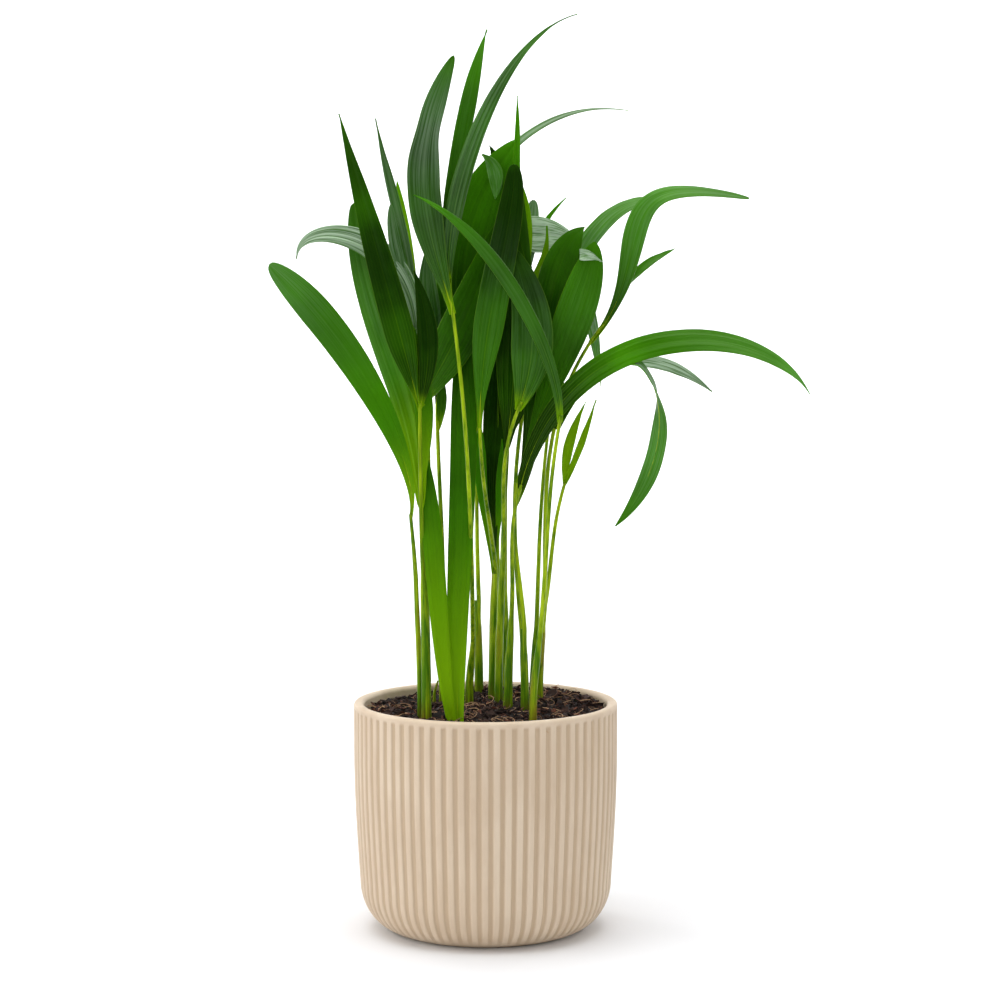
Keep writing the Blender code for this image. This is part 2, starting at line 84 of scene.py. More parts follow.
def pointMesh(name, spots, edges=(), **layers):
    # A guide mesh whose points carry the given values.
    mesh = bpy.data.meshes.new(name)
    mesh.from_pydata(spots, edges, [])
    for layer, values in layers.items():
        if hasattr(values[0], "__len__"):
            data = mesh.attributes.new(layer, "FLOAT_VECTOR", "POINT")
            data.data.foreach_set("vector", [part for value in values for part in value])
        else:
            data = mesh.attributes.new(layer, "FLOAT", "POINT")
            data.data.foreach_set("value", values)
    return mesh


def useTree(item, tree, values):
    # Puts the tree on the item, with each named input set by its socket's identifier.
    modifier = item.modifiers.new(tree.name, "NODES")
    modifier.node_group = tree
    for socket in tree.interface.items_tree:
        if socket.item_type == "SOCKET" and socket.in_out == "INPUT" and socket.name in values:
            modifier[socket.identifier] = values[socket.name]


def settle(item, outward=False):
    # Turns the item's evaluated shape into its plain mesh, with no modifiers left.
    graph = bpy.context.evaluated_depsgraph_get()
    mesh = bpy.data.meshes.new_from_object(item.evaluated_get(graph),
                                           preserve_all_data_layers=True, depsgraph=graph)
    item.modifiers.clear()
    old = item.data
    item.data = mesh
    bpy.data.meshes.remove(old)
    if outward:
        form = bmesh.new()
        form.from_mesh(mesh)
        bmesh.ops.recalc_face_normals(form, faces=form.faces)
        form.to_mesh(mesh)
        form.free()
    return item


def joinItems(items, name):
    with bpy.context.temp_override(active_object=items[0], selected_editable_objects=items):
        bpy.ops.object.join()
    items[0].name = name
    items[0].data.name = name
    return items[0]


def keep(item, slot, *nodes):
    # The finished piece rides on the plant's one body and stands for its CAD nodes.
    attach(item, "root")
    if nodes:
        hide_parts(*nodes)
    return item


# materials

def newMaterial(name):
    material = bpy.data.materials.new(name)
    material.use_nodes = True
    tree = material.node_tree
    return material, tree, tree.nodes["Principled BSDF"], tree.nodes["Material Output"]


# The groove colour is painted shade for the grooves between the ribs.
potLook = {
    "light": "#d8c5ad", "dark": "#cab49a", "paintedGrooveShade": "#bea78b",
    "mottle": 40.0, "grit": 1400.0, "roughness": 0.58}


def makeStoneware():
    # Unglazed stoneware, pressed and fired: a dry matt skin, warm, with soft mottling and fine grit.
    material, tree, shader, out = newMaterial("matt beige stoneware")
    place = addNode(tree, "ShaderNodeTexCoord").outputs["Object"]
    drawn = addNode(tree, "ShaderNodeMapping", {"Vector": place, "Scale": (1.0, 1.0, 0.35)})
    mottle = addNode(tree, "ShaderNodeTexNoise",
                     {"Vector": drawn.outputs[0], "Scale": potLook["mottle"], "Detail": 4.0,
                      "Roughness": 0.65})
    grit = addNode(tree, "ShaderNodeTexNoise",
                   {"Vector": place, "Scale": potLook["grit"], "Detail": 2.0})
    spread = addNode(tree, "ShaderNodeMapRange", {"Value": mottle.outputs["Fac"], "From Min": 0.35,
                                                 "From Max": 0.65})
    skin = addNode(tree, "ShaderNodeMix", {0: spread.outputs["Result"], 6: hexToLinear(potLook["dark"]),
                                          7: hexToLinear(potLook["light"])}, data_type="RGBA")
    # painted shade: the grooves between the ribs are painted darker than the crests
    crest = addNode(tree, "ShaderNodeAttribute", attribute_name="ribCrest")
    body = addNode(tree, "ShaderNodeMix", {0: crest.outputs["Fac"], 6: hexToLinear(potLook["paintedGrooveShade"]),
                                          7: skin.outputs[2]}, data_type="RGBA")
    tree.links.new(body.outputs[2], shader.inputs["Base Color"])
    bump = addNode(tree, "ShaderNodeBump", {"Height": grit.outputs["Fac"], "Strength": 0.25,
                                           "Distance": 0.0002})
    tree.links.new(bump.outputs["Normal"], shader.inputs["Normal"])
    shader.inputs["Roughness"].default_value = potLook["roughness"]
    shader.inputs["IOR"].default_value = 1.5
    return material


# The grey-green sheen colour is painted highlight; the pale yellow-green base colour is partly the young leaf's
# own colour and partly painted glow of light shining through.
leafLook = {
    "deep": "#042700", "full": "#469204", "vein": "#6a9c26", "youngAndGlow": "#7cac06", "silver": "#b2caae",
    "underDeep": "#2a5c12", "underPale": "#6c9152", "glow": "#5a9a0a", "sheen": "#aeec60",
    "upperRough": 0.34, "underRough": 0.46, "gloss": 0.27, "through": 0.21, "mottle": 30.0}


def makeLeafSide(name, dark, pale, roughness):
    # A palm leaf's waxy skin over parallel veins: long soft highlights, fine light lines and
    # some light shining through, with painted grey sheen in streaks. The light yellow-green leaf base is partly
    # the young leaf's own colour and partly a painted glow of light shining through.
    material, tree, shader, out = newMaterial(name)
    vein, along, side, tint, silver, youngAndGlow = (
        addNode(tree, "ShaderNodeAttribute", attribute_name=label).outputs["Fac"]
        for label in ("veinPhase", "alongShare", "sideShare", "leafTint", "leafSilver", "leafFresh"))
    place = addNode(tree, "ShaderNodeCombineXYZ", {0: vein, 1: along, 2: tint})
    fine = addNode(tree, "ShaderNodeTexNoise",
                   {"Vector": place.outputs[0], "Scale": 2.3, "Detail": 2.0, "Roughness": 0.6})
    spot = addNode(tree, "ShaderNodeTexCoord").outputs["Object"]
    cloud = addNode(tree, "ShaderNodeTexNoise",
                    {"Vector": spot, "Scale": leafLook["mottle"], "Detail": 2.0})
    # tone: the leaf's tint, partly its own colour and partly painted shade, a little streaked along the veins and
    # clouded over the blade
    streaked = addNode(tree, "ShaderNodeMath", {0: fine.outputs["Fac"], 1: 0.26, 2: tint},
                       operation="MULTIPLY_ADD")
    clouded = addNode(tree, "ShaderNodeMath", {0: cloud.outputs["Fac"], 1: 0.7, 2: streaked.outputs[0]},
                      operation="MULTIPLY_ADD")
    tone = addNode(tree, "ShaderNodeMath", {0: clouded.outputs[0], 1: -0.475}, operation="ADD",
                   use_clamp=True)
    green = addNode(tree, "ShaderNodeMix", {0: tone.outputs[0], 6: hexToLinear(dark),
                                           7: hexToLinear(pale)}, data_type="RGBA")
    # main veins: fine light lines, strongest near the leaf's base
    turn = addNode(tree, "ShaderNodeMath", {0: vein, 1: math.pi}, operation="MULTIPLY")
    wave = addNode(tree, "ShaderNodeMath", {0: turn.outputs[0]}, operation="COSINE")
    ridge = addNode(tree, "ShaderNodeMath", {0: wave.outputs[0], 1: 14.0}, operation="POWER")
    fade = addNode(tree, "ShaderNodeMapRange", {"Value": along, "From Min": 0.03, "From Max": 0.45,
                                               "To Min": 0.34, "To Max": 0.03})
    lineShare = addNode(tree, "ShaderNodeMath", {0: ridge.outputs[0], 1: fade.outputs["Result"]},
                        operation="MULTIPLY")
    lined = addNode(tree, "ShaderNodeMix", {0: lineShare.outputs[0], 6: green.outputs[2],
                                           7: hexToLinear(leafLook["vein"])}, data_type="RGBA")
    # painted sheen: a grey painted highlight that lies in long streaks between the veins
    sheenStreaks = addNode(tree, "ShaderNodeMapRange", {"Value": fine.outputs["Fac"], "From Min": 0.36,
                                                "From Max": 0.64, "To Min": 0.25, "To Max": 1.75})
    sheenStreakShare = addNode(tree, "ShaderNodeMath", {0: sheenStreaks.outputs["Result"], 1: silver},
                         operation="MULTIPLY", use_clamp=True)
    sheened = addNode(tree, "ShaderNodeMix", {0: sheenStreakShare.outputs[0], 6: lined.outputs[2],
                                           7: hexToLinear(leafLook["silver"])}, data_type="RGBA")
    # the yellow-green base, partly the young leaf's own colour and partly a painted glow of light shining through,
    # its upper end drawn out along the veins
    ragged = addNode(tree, "ShaderNodeMath", {0: fine.outputs["Fac"], 1: -0.14, 2: along},
                     operation="MULTIPLY_ADD")
    youngAndGlowStrength = addNode(tree, "ShaderNodeMath", {0: youngAndGlow, 1: 20.0}, operation="MULTIPLY", use_clamp=True)
    youngAndGlowMask = addNode(tree, "ShaderNodeMapRange", {"Value": ragged.outputs[0], "From Min": -0.07,
                                                "From Max": youngAndGlow, "To Min": youngAndGlowStrength.outputs[0],
                                                "To Max": 0.0}, interpolation_type="SMOOTHSTEP")
    edgeSide = addNode(tree, "ShaderNodeMath", {0: side}, operation="ABSOLUTE")
    margin = addNode(tree, "ShaderNodeMapRange", {"Value": edgeSide.outputs[0], "From Min": 0.94,
                                                 "From Max": 1.0, "To Min": 0.0, "To Max": 0.22})
    middle = addNode(tree, "ShaderNodeMapRange", {"Value": edgeSide.outputs[0], "From Min": 0.01,
                                                 "From Max": 0.05, "To Min": 0.8, "To Max": 0.0})
    middleFade = addNode(tree, "ShaderNodeMath", {0: middle.outputs["Result"], 1: fade.outputs["Result"]},
                         operation="MULTIPLY")
    lines = addNode(tree, "ShaderNodeMath", {0: margin.outputs["Result"], 1: middleFade.outputs[0]},
                    operation="MAXIMUM")
    light = addNode(tree, "ShaderNodeMath", {0: lines.outputs[0], 1: youngAndGlowMask.outputs["Result"]},
                    operation="MAXIMUM")
    skin = addNode(tree, "ShaderNodeMix", {0: light.outputs[0], 6: sheened.outputs[2],
                                          7: hexToLinear(leafLook["youngAndGlow"])}, data_type="RGBA")
    tree.links.new(skin.outputs[2], shader.inputs["Base Color"])
    relief = addNode(tree, "ShaderNodeMath", {0: ridge.outputs[0], 1: 0.5, 2: fine.outputs["Fac"]},
                     operation="MULTIPLY_ADD")
    bump = addNode(tree, "ShaderNodeBump", {"Height": relief.outputs[0], "Strength": 0.4,
                                           "Distance": 0.0002})
    tree.links.new(bump.outputs["Normal"], shader.inputs["Normal"])
    shader.inputs["Roughness"].default_value = roughness
    shader.inputs["Specular IOR Level"].default_value = leafLook["gloss"]
    shader.inputs["Specular Tint"].default_value = hexToLinear(leafLook["sheen"])
    glowing = addNode(tree, "ShaderNodeMix", {0: 0.5, 6: skin.outputs[2],
                                             7: hexToLinear(leafLook["glow"])}, data_type="RGBA")
    glow = addNode(tree, "ShaderNodeBsdfTranslucent", {"Color": glowing.outputs[2]})
    blend = addNode(tree, "ShaderNodeMixShader",
                    {0: leafLook["through"], 1: shader.outputs[0], 2: glow.outputs[0]})
    tree.links.new(blend.outputs[0], out.inputs["Surface"])
    return material


stemLook = {
    "deep": "#3f6c02", "pale": "#a2bd18", "dry": "#7a5a20", "brown": "#5c4414", "soilTop": 116.0,
    "brownTo": 126.0, "shadeTo": 190.0, "streaks": 900.0, "roughness": 0.4, "gloss": 0.3,
    "sheen": "#d6f08c"}


def makeSheathSkin(name, dark, light, foot):
    # Leaf sheath and stalk: smooth and slightly waxy, with fine lengthwise streaks; drier to its foot, and darker
    # there with painted shade.
    material, tree, shader, out = newMaterial(name)
    place = addNode(tree, "ShaderNodeTexCoord").outputs["Object"]
    drawn = addNode(tree, "ShaderNodeMapping", {"Vector": place, "Scale": (1.0, 1.0, 0.04)})
    streak = addNode(tree, "ShaderNodeTexNoise", {"Vector": drawn.outputs[0], "Scale": stemLook["streaks"],
                                                 "Detail": 3.0, "Roughness": 0.6})
    wide = addNode(tree, "ShaderNodeMapping", {"Vector": place, "Scale": (1.0, 1.0, 0.2)})
    patch = addNode(tree, "ShaderNodeTexNoise", {"Vector": wide.outputs[0], "Scale": 110.0, "Detail": 2.0})
    height = addNode(tree, "ShaderNodeSeparateXYZ", {0: place})
    # painted shade: the skin is painted darker from high on the stem down to the soil
    shade = addNode(tree, "ShaderNodeMapRange",
                    {"Value": height.outputs["Z"], "From Min": stemLook["soilTop"] * mm,
                     "From Max": stemLook["shadeTo"] * mm, "To Min": -0.34 * foot, "To Max": 0.0})
    share = addNode(tree, "ShaderNodeMath", {0: streak.outputs["Fac"], 1: patch.outputs["Fac"]},
                    operation="MULTIPLY")
    spread = addNode(tree, "ShaderNodeMapRange", {"Value": share.outputs[0], "From Min": 0.15,
                                                 "From Max": 0.36})
    tone = addNode(tree, "ShaderNodeMath", {0: spread.outputs["Result"], 1: shade.outputs["Result"]},
                   operation="ADD", use_clamp=True)
    green = addNode(tree, "ShaderNodeMix", {0: tone.outputs[0], 6: hexToLinear(dark),
                                           7: hexToLinear(light)}, data_type="RGBA")
    # dried brown streaks on some of the sheaths, and brown where they stand in the soil
    dryPatch = addNode(tree, "ShaderNodeMapRange", {"Value": patch.outputs["Fac"], "From Min": 0.56,
                                                   "From Max": 0.68, "To Max": 0.75 * foot})
    dried = addNode(tree, "ShaderNodeMix", {0: dryPatch.outputs["Result"], 6: green.outputs[2],
                                           7: hexToLinear(stemLook["dry"])}, data_type="RGBA")
    wobble = addNode(tree, "ShaderNodeMath", {0: streak.outputs["Fac"], 1: 0.03, 2: height.outputs["Z"]},
                     operation="MULTIPLY_ADD")
    low = addNode(tree, "ShaderNodeMapRange",
                  {"Value": wobble.outputs[0], "From Min": stemLook["soilTop"] * mm + 0.013,
                   "From Max": stemLook["brownTo"] * mm + 0.015, "To Min": foot, "To Max": 0.0})
    skin = addNode(tree, "ShaderNodeMix", {0: low.outputs["Result"], 6: dried.outputs[2],
                                          7: hexToLinear(stemLook["brown"])}, data_type="RGBA")
    tree.links.new(skin.outputs[2], shader.inputs["Base Color"])
    bump = addNode(tree, "ShaderNodeBump", {"Height": streak.outputs["Fac"], "Strength": 0.3,
                                           "Distance": 0.0002})
    tree.links.new(bump.outputs["Normal"], shader.inputs["Normal"])
    shader.inputs["Roughness"].default_value = stemLook["roughness"]
    shader.inputs["Specular IOR Level"].default_value = stemLook["gloss"]
    shader.inputs["Specular Tint"].default_value = hexToLinear(stemLook["sheen"])
    return material


def makeEarth(name, dark, light, tintSpread, roughness):
    # Potting mix: matt, nearly black where moist, with reddish brown bark and coir.
    material, tree, shader, out = newMaterial(name)
    place = addNode(tree, "ShaderNodeTexCoord").outputs["Object"]
    grain = addNode(tree, "ShaderNodeTexNoise", {"Vector": place, "Scale": 420.0, "Detail": 4.0,
                                                "Roughness": 0.7})
    tint = addNode(tree, "ShaderNodeAttribute", attribute_name="bitTint")
    share = addNode(tree, "ShaderNodeMath", {0: tint.outputs["Fac"], 1: tintSpread, 2: grain.outputs["Fac"]},
                    operation="MULTIPLY_ADD")
    spread = addNode(tree, "ShaderNodeMapRange", {"Value": share.outputs[0], "From Min": 0.4,
                                                 "From Max": 0.6 + tintSpread})
    skin = addNode(tree, "ShaderNodeMix", {0: spread.outputs["Result"], 6: hexToLinear(dark),
                                          7: hexToLinear(light)}, data_type="RGBA")
    tree.links.new(skin.outputs[2], shader.inputs["Base Color"])
    bump = addNode(tree, "ShaderNodeBump", {"Height": grain.outputs["Fac"], "Strength": 0.6,
                                           "Distance": 0.0004})
    tree.links.new(bump.outputs["Normal"], shader.inputs["Normal"])
    shader.inputs["Roughness"].default_value = roughness
    return material


stoneware = makeStoneware()
leafUpper = makeLeafSide("palm leaf, upper side", leafLook["deep"], leafLook["full"], leafLook["upperRough"])
leafUnder = makeLeafSide("palm leaf, underside", leafLook["underDeep"], leafLook["underPale"],
                         leafLook["underRough"])
stemSkin = makeSheathSkin("stem sheath", stemLook["deep"], stemLook["pale"], 0.8)
stalkSkin = makeSheathSkin("leaf stalk", stemLook["deep"], stemLook["pale"], 0.0)
earth = makeEarth("moist potting mix", "#070302", "#1c0d08", 0.0, 0.95)
peat = makeEarth("peat crumbs", "#0a0503", "#361b0e", 0.7, 0.9)
bark = makeEarth("bark flakes", "#170a06", "#6a361c", 0.6, 0.8)
coir = makeEarth("coir fibre", "#56301a", "#d6ae84", 0.6, 0.75)
print("materials made")


# pot

potSize = {
    "radius": 70.8, "height": 122.2, "wall": 5.6, "ribs": 72, "stepsPerRib": 16, "ribDepth": 0.8,
    "grooveAt": -0.75, "crestAt": 0.25, "plainBand": 2.1, "ribEnd": 2.2, "cornerHeight": 26.0,
    "cornerWidth": 21.0, "cornerTopRadius": 67.7, "undercut": 2.2, "undercutHeight": 1.0, "floor": 8.0,
    "lipRounding": 1.6, "innerLip": 2.2}


def wallRadius(height):
    corner = potSize["cornerHeight"]
    if height < corner:
        drop = (corner - height) / corner
        return potSize["cornerTopRadius"] - potSize["cornerWidth"] * (1.0 - math.sqrt(1.0 - drop ** 2))
    rise = min(1.0, (height - corner) / (0.75 * (potSize["height"] - corner)))
    return potSize["cornerTopRadius"] + (potSize["radius"] - potSize["cornerTopRadius"]) * math.sin(
        rise * math.pi / 2)


def potProfile():
    # Points of (radius, height, share of the rib's depth), from the foot up over the lip and down inside.
    # The foot stands back a little under the corner, which leaves a thin dark gap above the floor.
    top = potSize["height"]
    lip = potSize["lipRounding"]
    inner = potSize["innerLip"]
    start = potSize["undercutHeight"]
    ribTop = top - potSize["plainBand"]
    edge = wallRadius(start)
    foot = edge - potSize["undercut"]
    points = [(0.0, 0.0, 0.0), (foot - 0.5, 0.0, 0.0), (foot, 0.4, 0.0), (foot + 0.4, start, 0.0),
              (edge - 0.3, start, 0.0)]
    for k in range(16):
        height = start + 0.2 + (potSize["cornerHeight"] - start - 0.2) * (k / 16) ** 1.6
        points.append((wallRadius(height), height, min(1.0, (height - start) / 5.0)))
    for k in range(10):
        height = potSize["cornerHeight"] + (ribTop - 4.0 - potSize["cornerHeight"]) * k / 10
        points.append((wallRadius(height), height, 1.0))
    for k in range(9):
        height = ribTop - 4.0 + 4.4 * k / 8
        fade = min(1.0, max(0.0, (ribTop - height) / potSize["ribEnd"]))
        points.append((wallRadius(height), height, fade * fade * (3 - 2 * fade)))
    outer = wallRadius(top)
    for k in range(7):
        angle = k / 6 * math.pi / 2
        points.append((outer - lip + lip * math.cos(angle), top - lip + lip * math.sin(angle), 0.0))
    inside = outer - potSize["wall"]
    for k in range(7):
        angle = math.pi / 2 + k / 6 * math.pi / 2
        points.append((inside + inner + inner * math.cos(angle), top - inner + inner * math.sin(angle), 0.0))
    for height in (110.0, 60.0, 24.0, 13.0, potSize["floor"]):
        points.append((wallRadius(height) - potSize["wall"], height, 0.0))
    points.append((0.0, potSize["floor"], 0.0))
    return points


def makePotTree():
    tree, given, out = newTree("ribbed pot", [
        ("Profile points", "Int", 60), ("Ribs", "Int", 72), ("Steps per rib", "Int", 12),
        ("Rib depth", "Float", 0.0011), ("Groove at", "Float", -0.8), ("Crest at", "Float", 0.1),
        ("Material", "Material", None)])
    steps = addNode(tree, "ShaderNodeMath", {0: given.outputs["Ribs"], 1: given.outputs["Steps per rib"]},
                    operation="MULTIPLY")
    around = addNode(tree, "ShaderNodeMath", {0: steps.outputs[0], 1: 1.0}, operation="ADD")
    grid = addNode(tree, "GeometryNodeMeshGrid", {"Vertices X": around.outputs[0],
                                                 "Vertices Y": given.outputs["Profile points"]})
    index = addNode(tree, "GeometryNodeInputIndex")
    ratio = addNode(tree, "ShaderNodeMath", {0: index.outputs[0], 1: given.outputs["Profile points"]},
                    operation="DIVIDE")
    step = addNode(tree, "ShaderNodeMath", {0: ratio.outputs[0]}, operation="FLOOR")
    part = addNode(tree, "ShaderNodeMath", {0: ratio.outputs[0]}, operation="FRACT")
    row = addNode(tree, "ShaderNodeMath", {0: part.outputs[0], 1: given.outputs["Profile points"], 2: 0.5},
                  operation="MULTIPLY_ADD")
    turn = addNode(tree, "ShaderNodeMath", {0: step.outputs[0], 1: steps.outputs[0]}, operation="DIVIDE")
    angle = addNode(tree, "ShaderNodeMath", {0: turn.outputs[0], 1: 2 * math.pi}, operation="MULTIPLY")
    spot = addNode(tree, "GeometryNodeInputPosition")
    share = addNode(tree, "GeometryNodeInputNamedAttribute", {"Name": "ribShare"}, data_type="FLOAT")
    profileSpot = addNode(tree, "GeometryNodeSampleIndex",
                          {"Geometry": given.outputs["Geometry"], "Value": spot.outputs[0],
                           "Index": row.outputs[0]}, data_type="FLOAT_VECTOR", domain="POINT")
    profileShare = addNode(tree, "GeometryNodeSampleIndex",
                           {"Geometry": given.outputs["Geometry"], "Value": share.outputs[0],
                            "Index": row.outputs[0]}, data_type="FLOAT", domain="POINT")
    parts = addNode(tree, "ShaderNodeSeparateXYZ", {0: profileSpot.outputs[0]})
    phase = addNode(tree, "ShaderNodeMath", {0: angle.outputs[0], 1: given.outputs["Ribs"]},
                    operation="MULTIPLY")
    ribWave = addNode(tree, "ShaderNodeMath", {0: phase.outputs[0]}, operation="COSINE")
    crest = addNode(tree, "ShaderNodeMapRange",
                    {"Value": ribWave.outputs[0], "From Min": given.outputs["Groove at"],
                     "From Max": given.outputs["Crest at"]}, interpolation_type="SMOOTHSTEP")
    valley = addNode(tree, "ShaderNodeMath", {0: 1.0, 1: crest.outputs[0]}, operation="SUBTRACT")
    cut = addNode(tree, "ShaderNodeMath", {0: valley.outputs[0], 1: profileShare.outputs[0]},
                  operation="MULTIPLY")
    depth = addNode(tree, "ShaderNodeMath", {0: cut.outputs[0], 1: given.outputs["Rib depth"]},
                    operation="MULTIPLY")
    radius = addNode(tree, "ShaderNodeMath", {0: parts.outputs["X"], 1: depth.outputs[0]},
                     operation="SUBTRACT")
    cosine = addNode(tree, "ShaderNodeMath", {0: angle.outputs[0]}, operation="COSINE")
    sineTurn = addNode(tree, "ShaderNodeMath", {0: angle.outputs[0]}, operation="SINE")
    x = addNode(tree, "ShaderNodeMath", {0: radius.outputs[0], 1: cosine.outputs[0]}, operation="MULTIPLY")
    y = addNode(tree, "ShaderNodeMath", {0: radius.outputs[0], 1: sineTurn.outputs[0]}, operation="MULTIPLY")
    place = addNode(tree, "ShaderNodeCombineXYZ", {0: x.outputs[0], 1: y.outputs[0], 2: parts.outputs["Z"]})
    crestShare = addNode(tree, "ShaderNodeMath", {0: 1.0, 1: cut.outputs[0]}, operation="SUBTRACT")
    marked = addNode(tree, "GeometryNodeStoreNamedAttribute",
                     {"Geometry": grid.outputs["Mesh"], "Name": "ribCrest", "Value": crestShare.outputs[0]},
                     data_type="FLOAT", domain="POINT")
    shaped = addNode(tree, "GeometryNodeSetPosition", {"Geometry": marked.outputs[0],
                                                      "Position": place.outputs[0]})
    closed = addNode(tree, "GeometryNodeMergeByDistance", {"Geometry": shaped.outputs[0],
                                                          "Distance": 0.00002})
    smooth = addNode(tree, "GeometryNodeSetShadeSmooth", {"Geometry": closed.outputs[0]})
    real = addNode(tree, "GeometryNodeRealizeInstances", {"Geometry": smooth.outputs[0]})
    addSkin = addNode(tree, "GeometryNodeSetMaterial", {"Geometry": real.outputs[0],
                                                       "Material": given.outputs["Material"]})
    tree.links.new(addSkin.outputs[0], out.inputs[0])
    return tree


def makePot():
    profile = potProfile()
    guide = pointMesh("pot_profile", [(radius * mm, 0.0, height * mm) for radius, height, share in profile],
                      ribShare=[share for radius, height, share in profile])
    pot = newItem("ribbed_pot", guide)
    useTree(pot, makePotTree(), {
        "Profile points": len(profile), "Ribs": potSize["ribs"], "Steps per rib": potSize["stepsPerRib"],
        "Rib depth": potSize["ribDepth"] * mm, "Groove at": potSize["grooveAt"],
        "Crest at": potSize["crestAt"], "Material": stoneware})
    settle(pot, outward=True)
    return keep(pot, "pot", "pot")


makePot()
print("pot made")


# soil

soilSize = {
    "edge": 116.2, "mound": 1.8, "backRise": 4.2, "radius": 64.4, "bumps": 1.5, "bumpWidth": 8.0,
    "skirt": 112.0, "rings": 70, "steps": 220, "seed": 11}


def soilHeight(x, y):
    # Heaped a little round the stems and up to the back on the right.
    away = min(1.0, (x * x + y * y) / 66.0 ** 2)
    back = max(0.0, (0.5 * x + 0.87 * y) / soilSize["radius"])
    rough = noise.fractal(Vector((x, y, 27.0)) / soilSize["bumpWidth"], 0.7, 2.1, 4)
    return (soilSize["edge"] + soilSize["mound"] * (1.0 - away) ** 0.8 + soilSize["backRise"] * back ** 2
            + soilSize["bumps"] * rough * (1.0 - 0.6 * away))


def makeSoilBed():
    form = bmesh.new()
    middle = form.verts.new((0.0, 0.0, soilHeight(0.0, 0.0) * mm))
    rings = []
    for ring in range(1, soilSize["rings"] + 1):
        radius = soilSize["radius"] * ring / soilSize["rings"]
        row = []
        for k in range(soilSize["steps"]):
            angle = 2 * math.pi * k / soilSize["steps"]
            x, y = radius * math.cos(angle), radius * math.sin(angle)
            row.append(form.verts.new((x * mm, y * mm, soilHeight(x, y) * mm)))
        rings.append(row)
    rings.append([form.verts.new((v.co.x, v.co.y, soilSize["skirt"] * mm)) for v in rings[-1]])
    under = form.verts.new((0.0, 0.0, soilSize["skirt"] * mm))
    for k in range(soilSize["steps"]):
        after = (k + 1) % soilSize["steps"]
        form.faces.new((middle, rings[0][k], rings[0][after]))
        for low, high in zip(rings, rings[1:]):
            form.faces.new((low[k], high[k], high[after], low[after]))
        form.faces.new((rings[-1][k], under, rings[-1][after]))
    bmesh.ops.recalc_face_normals(form, faces=form.faces)
    mesh = bpy.data.meshes.new("soil_bed")
    form.to_mesh(mesh)
    form.free()
    mesh.shade_smooth()
    return newItem("soil_bed", mesh, earth)


def bitMesh(name, size, curl, rough, seed, square=False):
    # A crumb, a flake or, from a block, a chip of bark: drawn out of shape and bent along its length.
    form = bmesh.new()
    if square:
        bmesh.ops.create_cube(form, size=2.0)
        bmesh.ops.subdivide_edges(form, edges=form.edges, cuts=1, use_grid_fill=True)
    else:
        bmesh.ops.create_icosphere(form, subdivisions=2, radius=1.0)
    for vertex in form.verts:
        push = 1.0 + rough * noise.noise(vertex.co * 1.3 + Vector((seed * 7.3, 0, 0)))
        spot = Vector((vertex.co.x * size[0], vertex.co.y * size[1], vertex.co.z * size[2])) * push
        spot.z += curl * math.sin(spot.x * 0.9 + seed)
        vertex.co = spot * mm
    mesh = bpy.data.meshes.new(name)
    form.to_mesh(mesh)
    form.free()
    return mesh


def curlMesh(name, length, turn, thick, seed):
    # A short curled fibre: a thin tube of a few sides along a bent path.
    draw = random.Random(seed)
    form = bmesh.new()
    spot, heading, pitch = Vector((0, 0, 0)), draw.uniform(0, 6.28), draw.uniform(-0.1, 0.35)
    count, sides, rings = 12, 5, []
    for k in range(count + 1):
        along = Vector((math.cos(heading) * math.cos(pitch), math.sin(heading) * math.cos(pitch),
                        math.sin(pitch)))
        side = along.cross(Vector((0, 0, 1))).normalized()
        up = side.cross(along)
        radius = thick * (1.0 - 0.6 * k / count)
        ring = []
        for s in range(sides):
            angle = 2 * math.pi * s / sides
            ring.append(form.verts.new((spot + side * radius * math.cos(angle)
                                        + up * radius * math.sin(angle)) * mm))
        rings.append(ring)
        spot = spot + along * length / count
        heading += turn / count * draw.uniform(0.2, 1.8)
        pitch += draw.uniform(-0.3, 0.2)
    for low, high in zip(rings, rings[1:]):
        for s in range(sides):
            form.faces.new((low[s], low[(s + 1) % sides], high[(s + 1) % sides], high[s]))
    form.faces.new(rings[0])
    form.faces.new(rings[-1])
    bmesh.ops.recalc_face_normals(form, faces=form.faces)
    mesh = bpy.data.meshes.new(name)
    form.to_mesh(mesh)
    form.free()
    return mesh


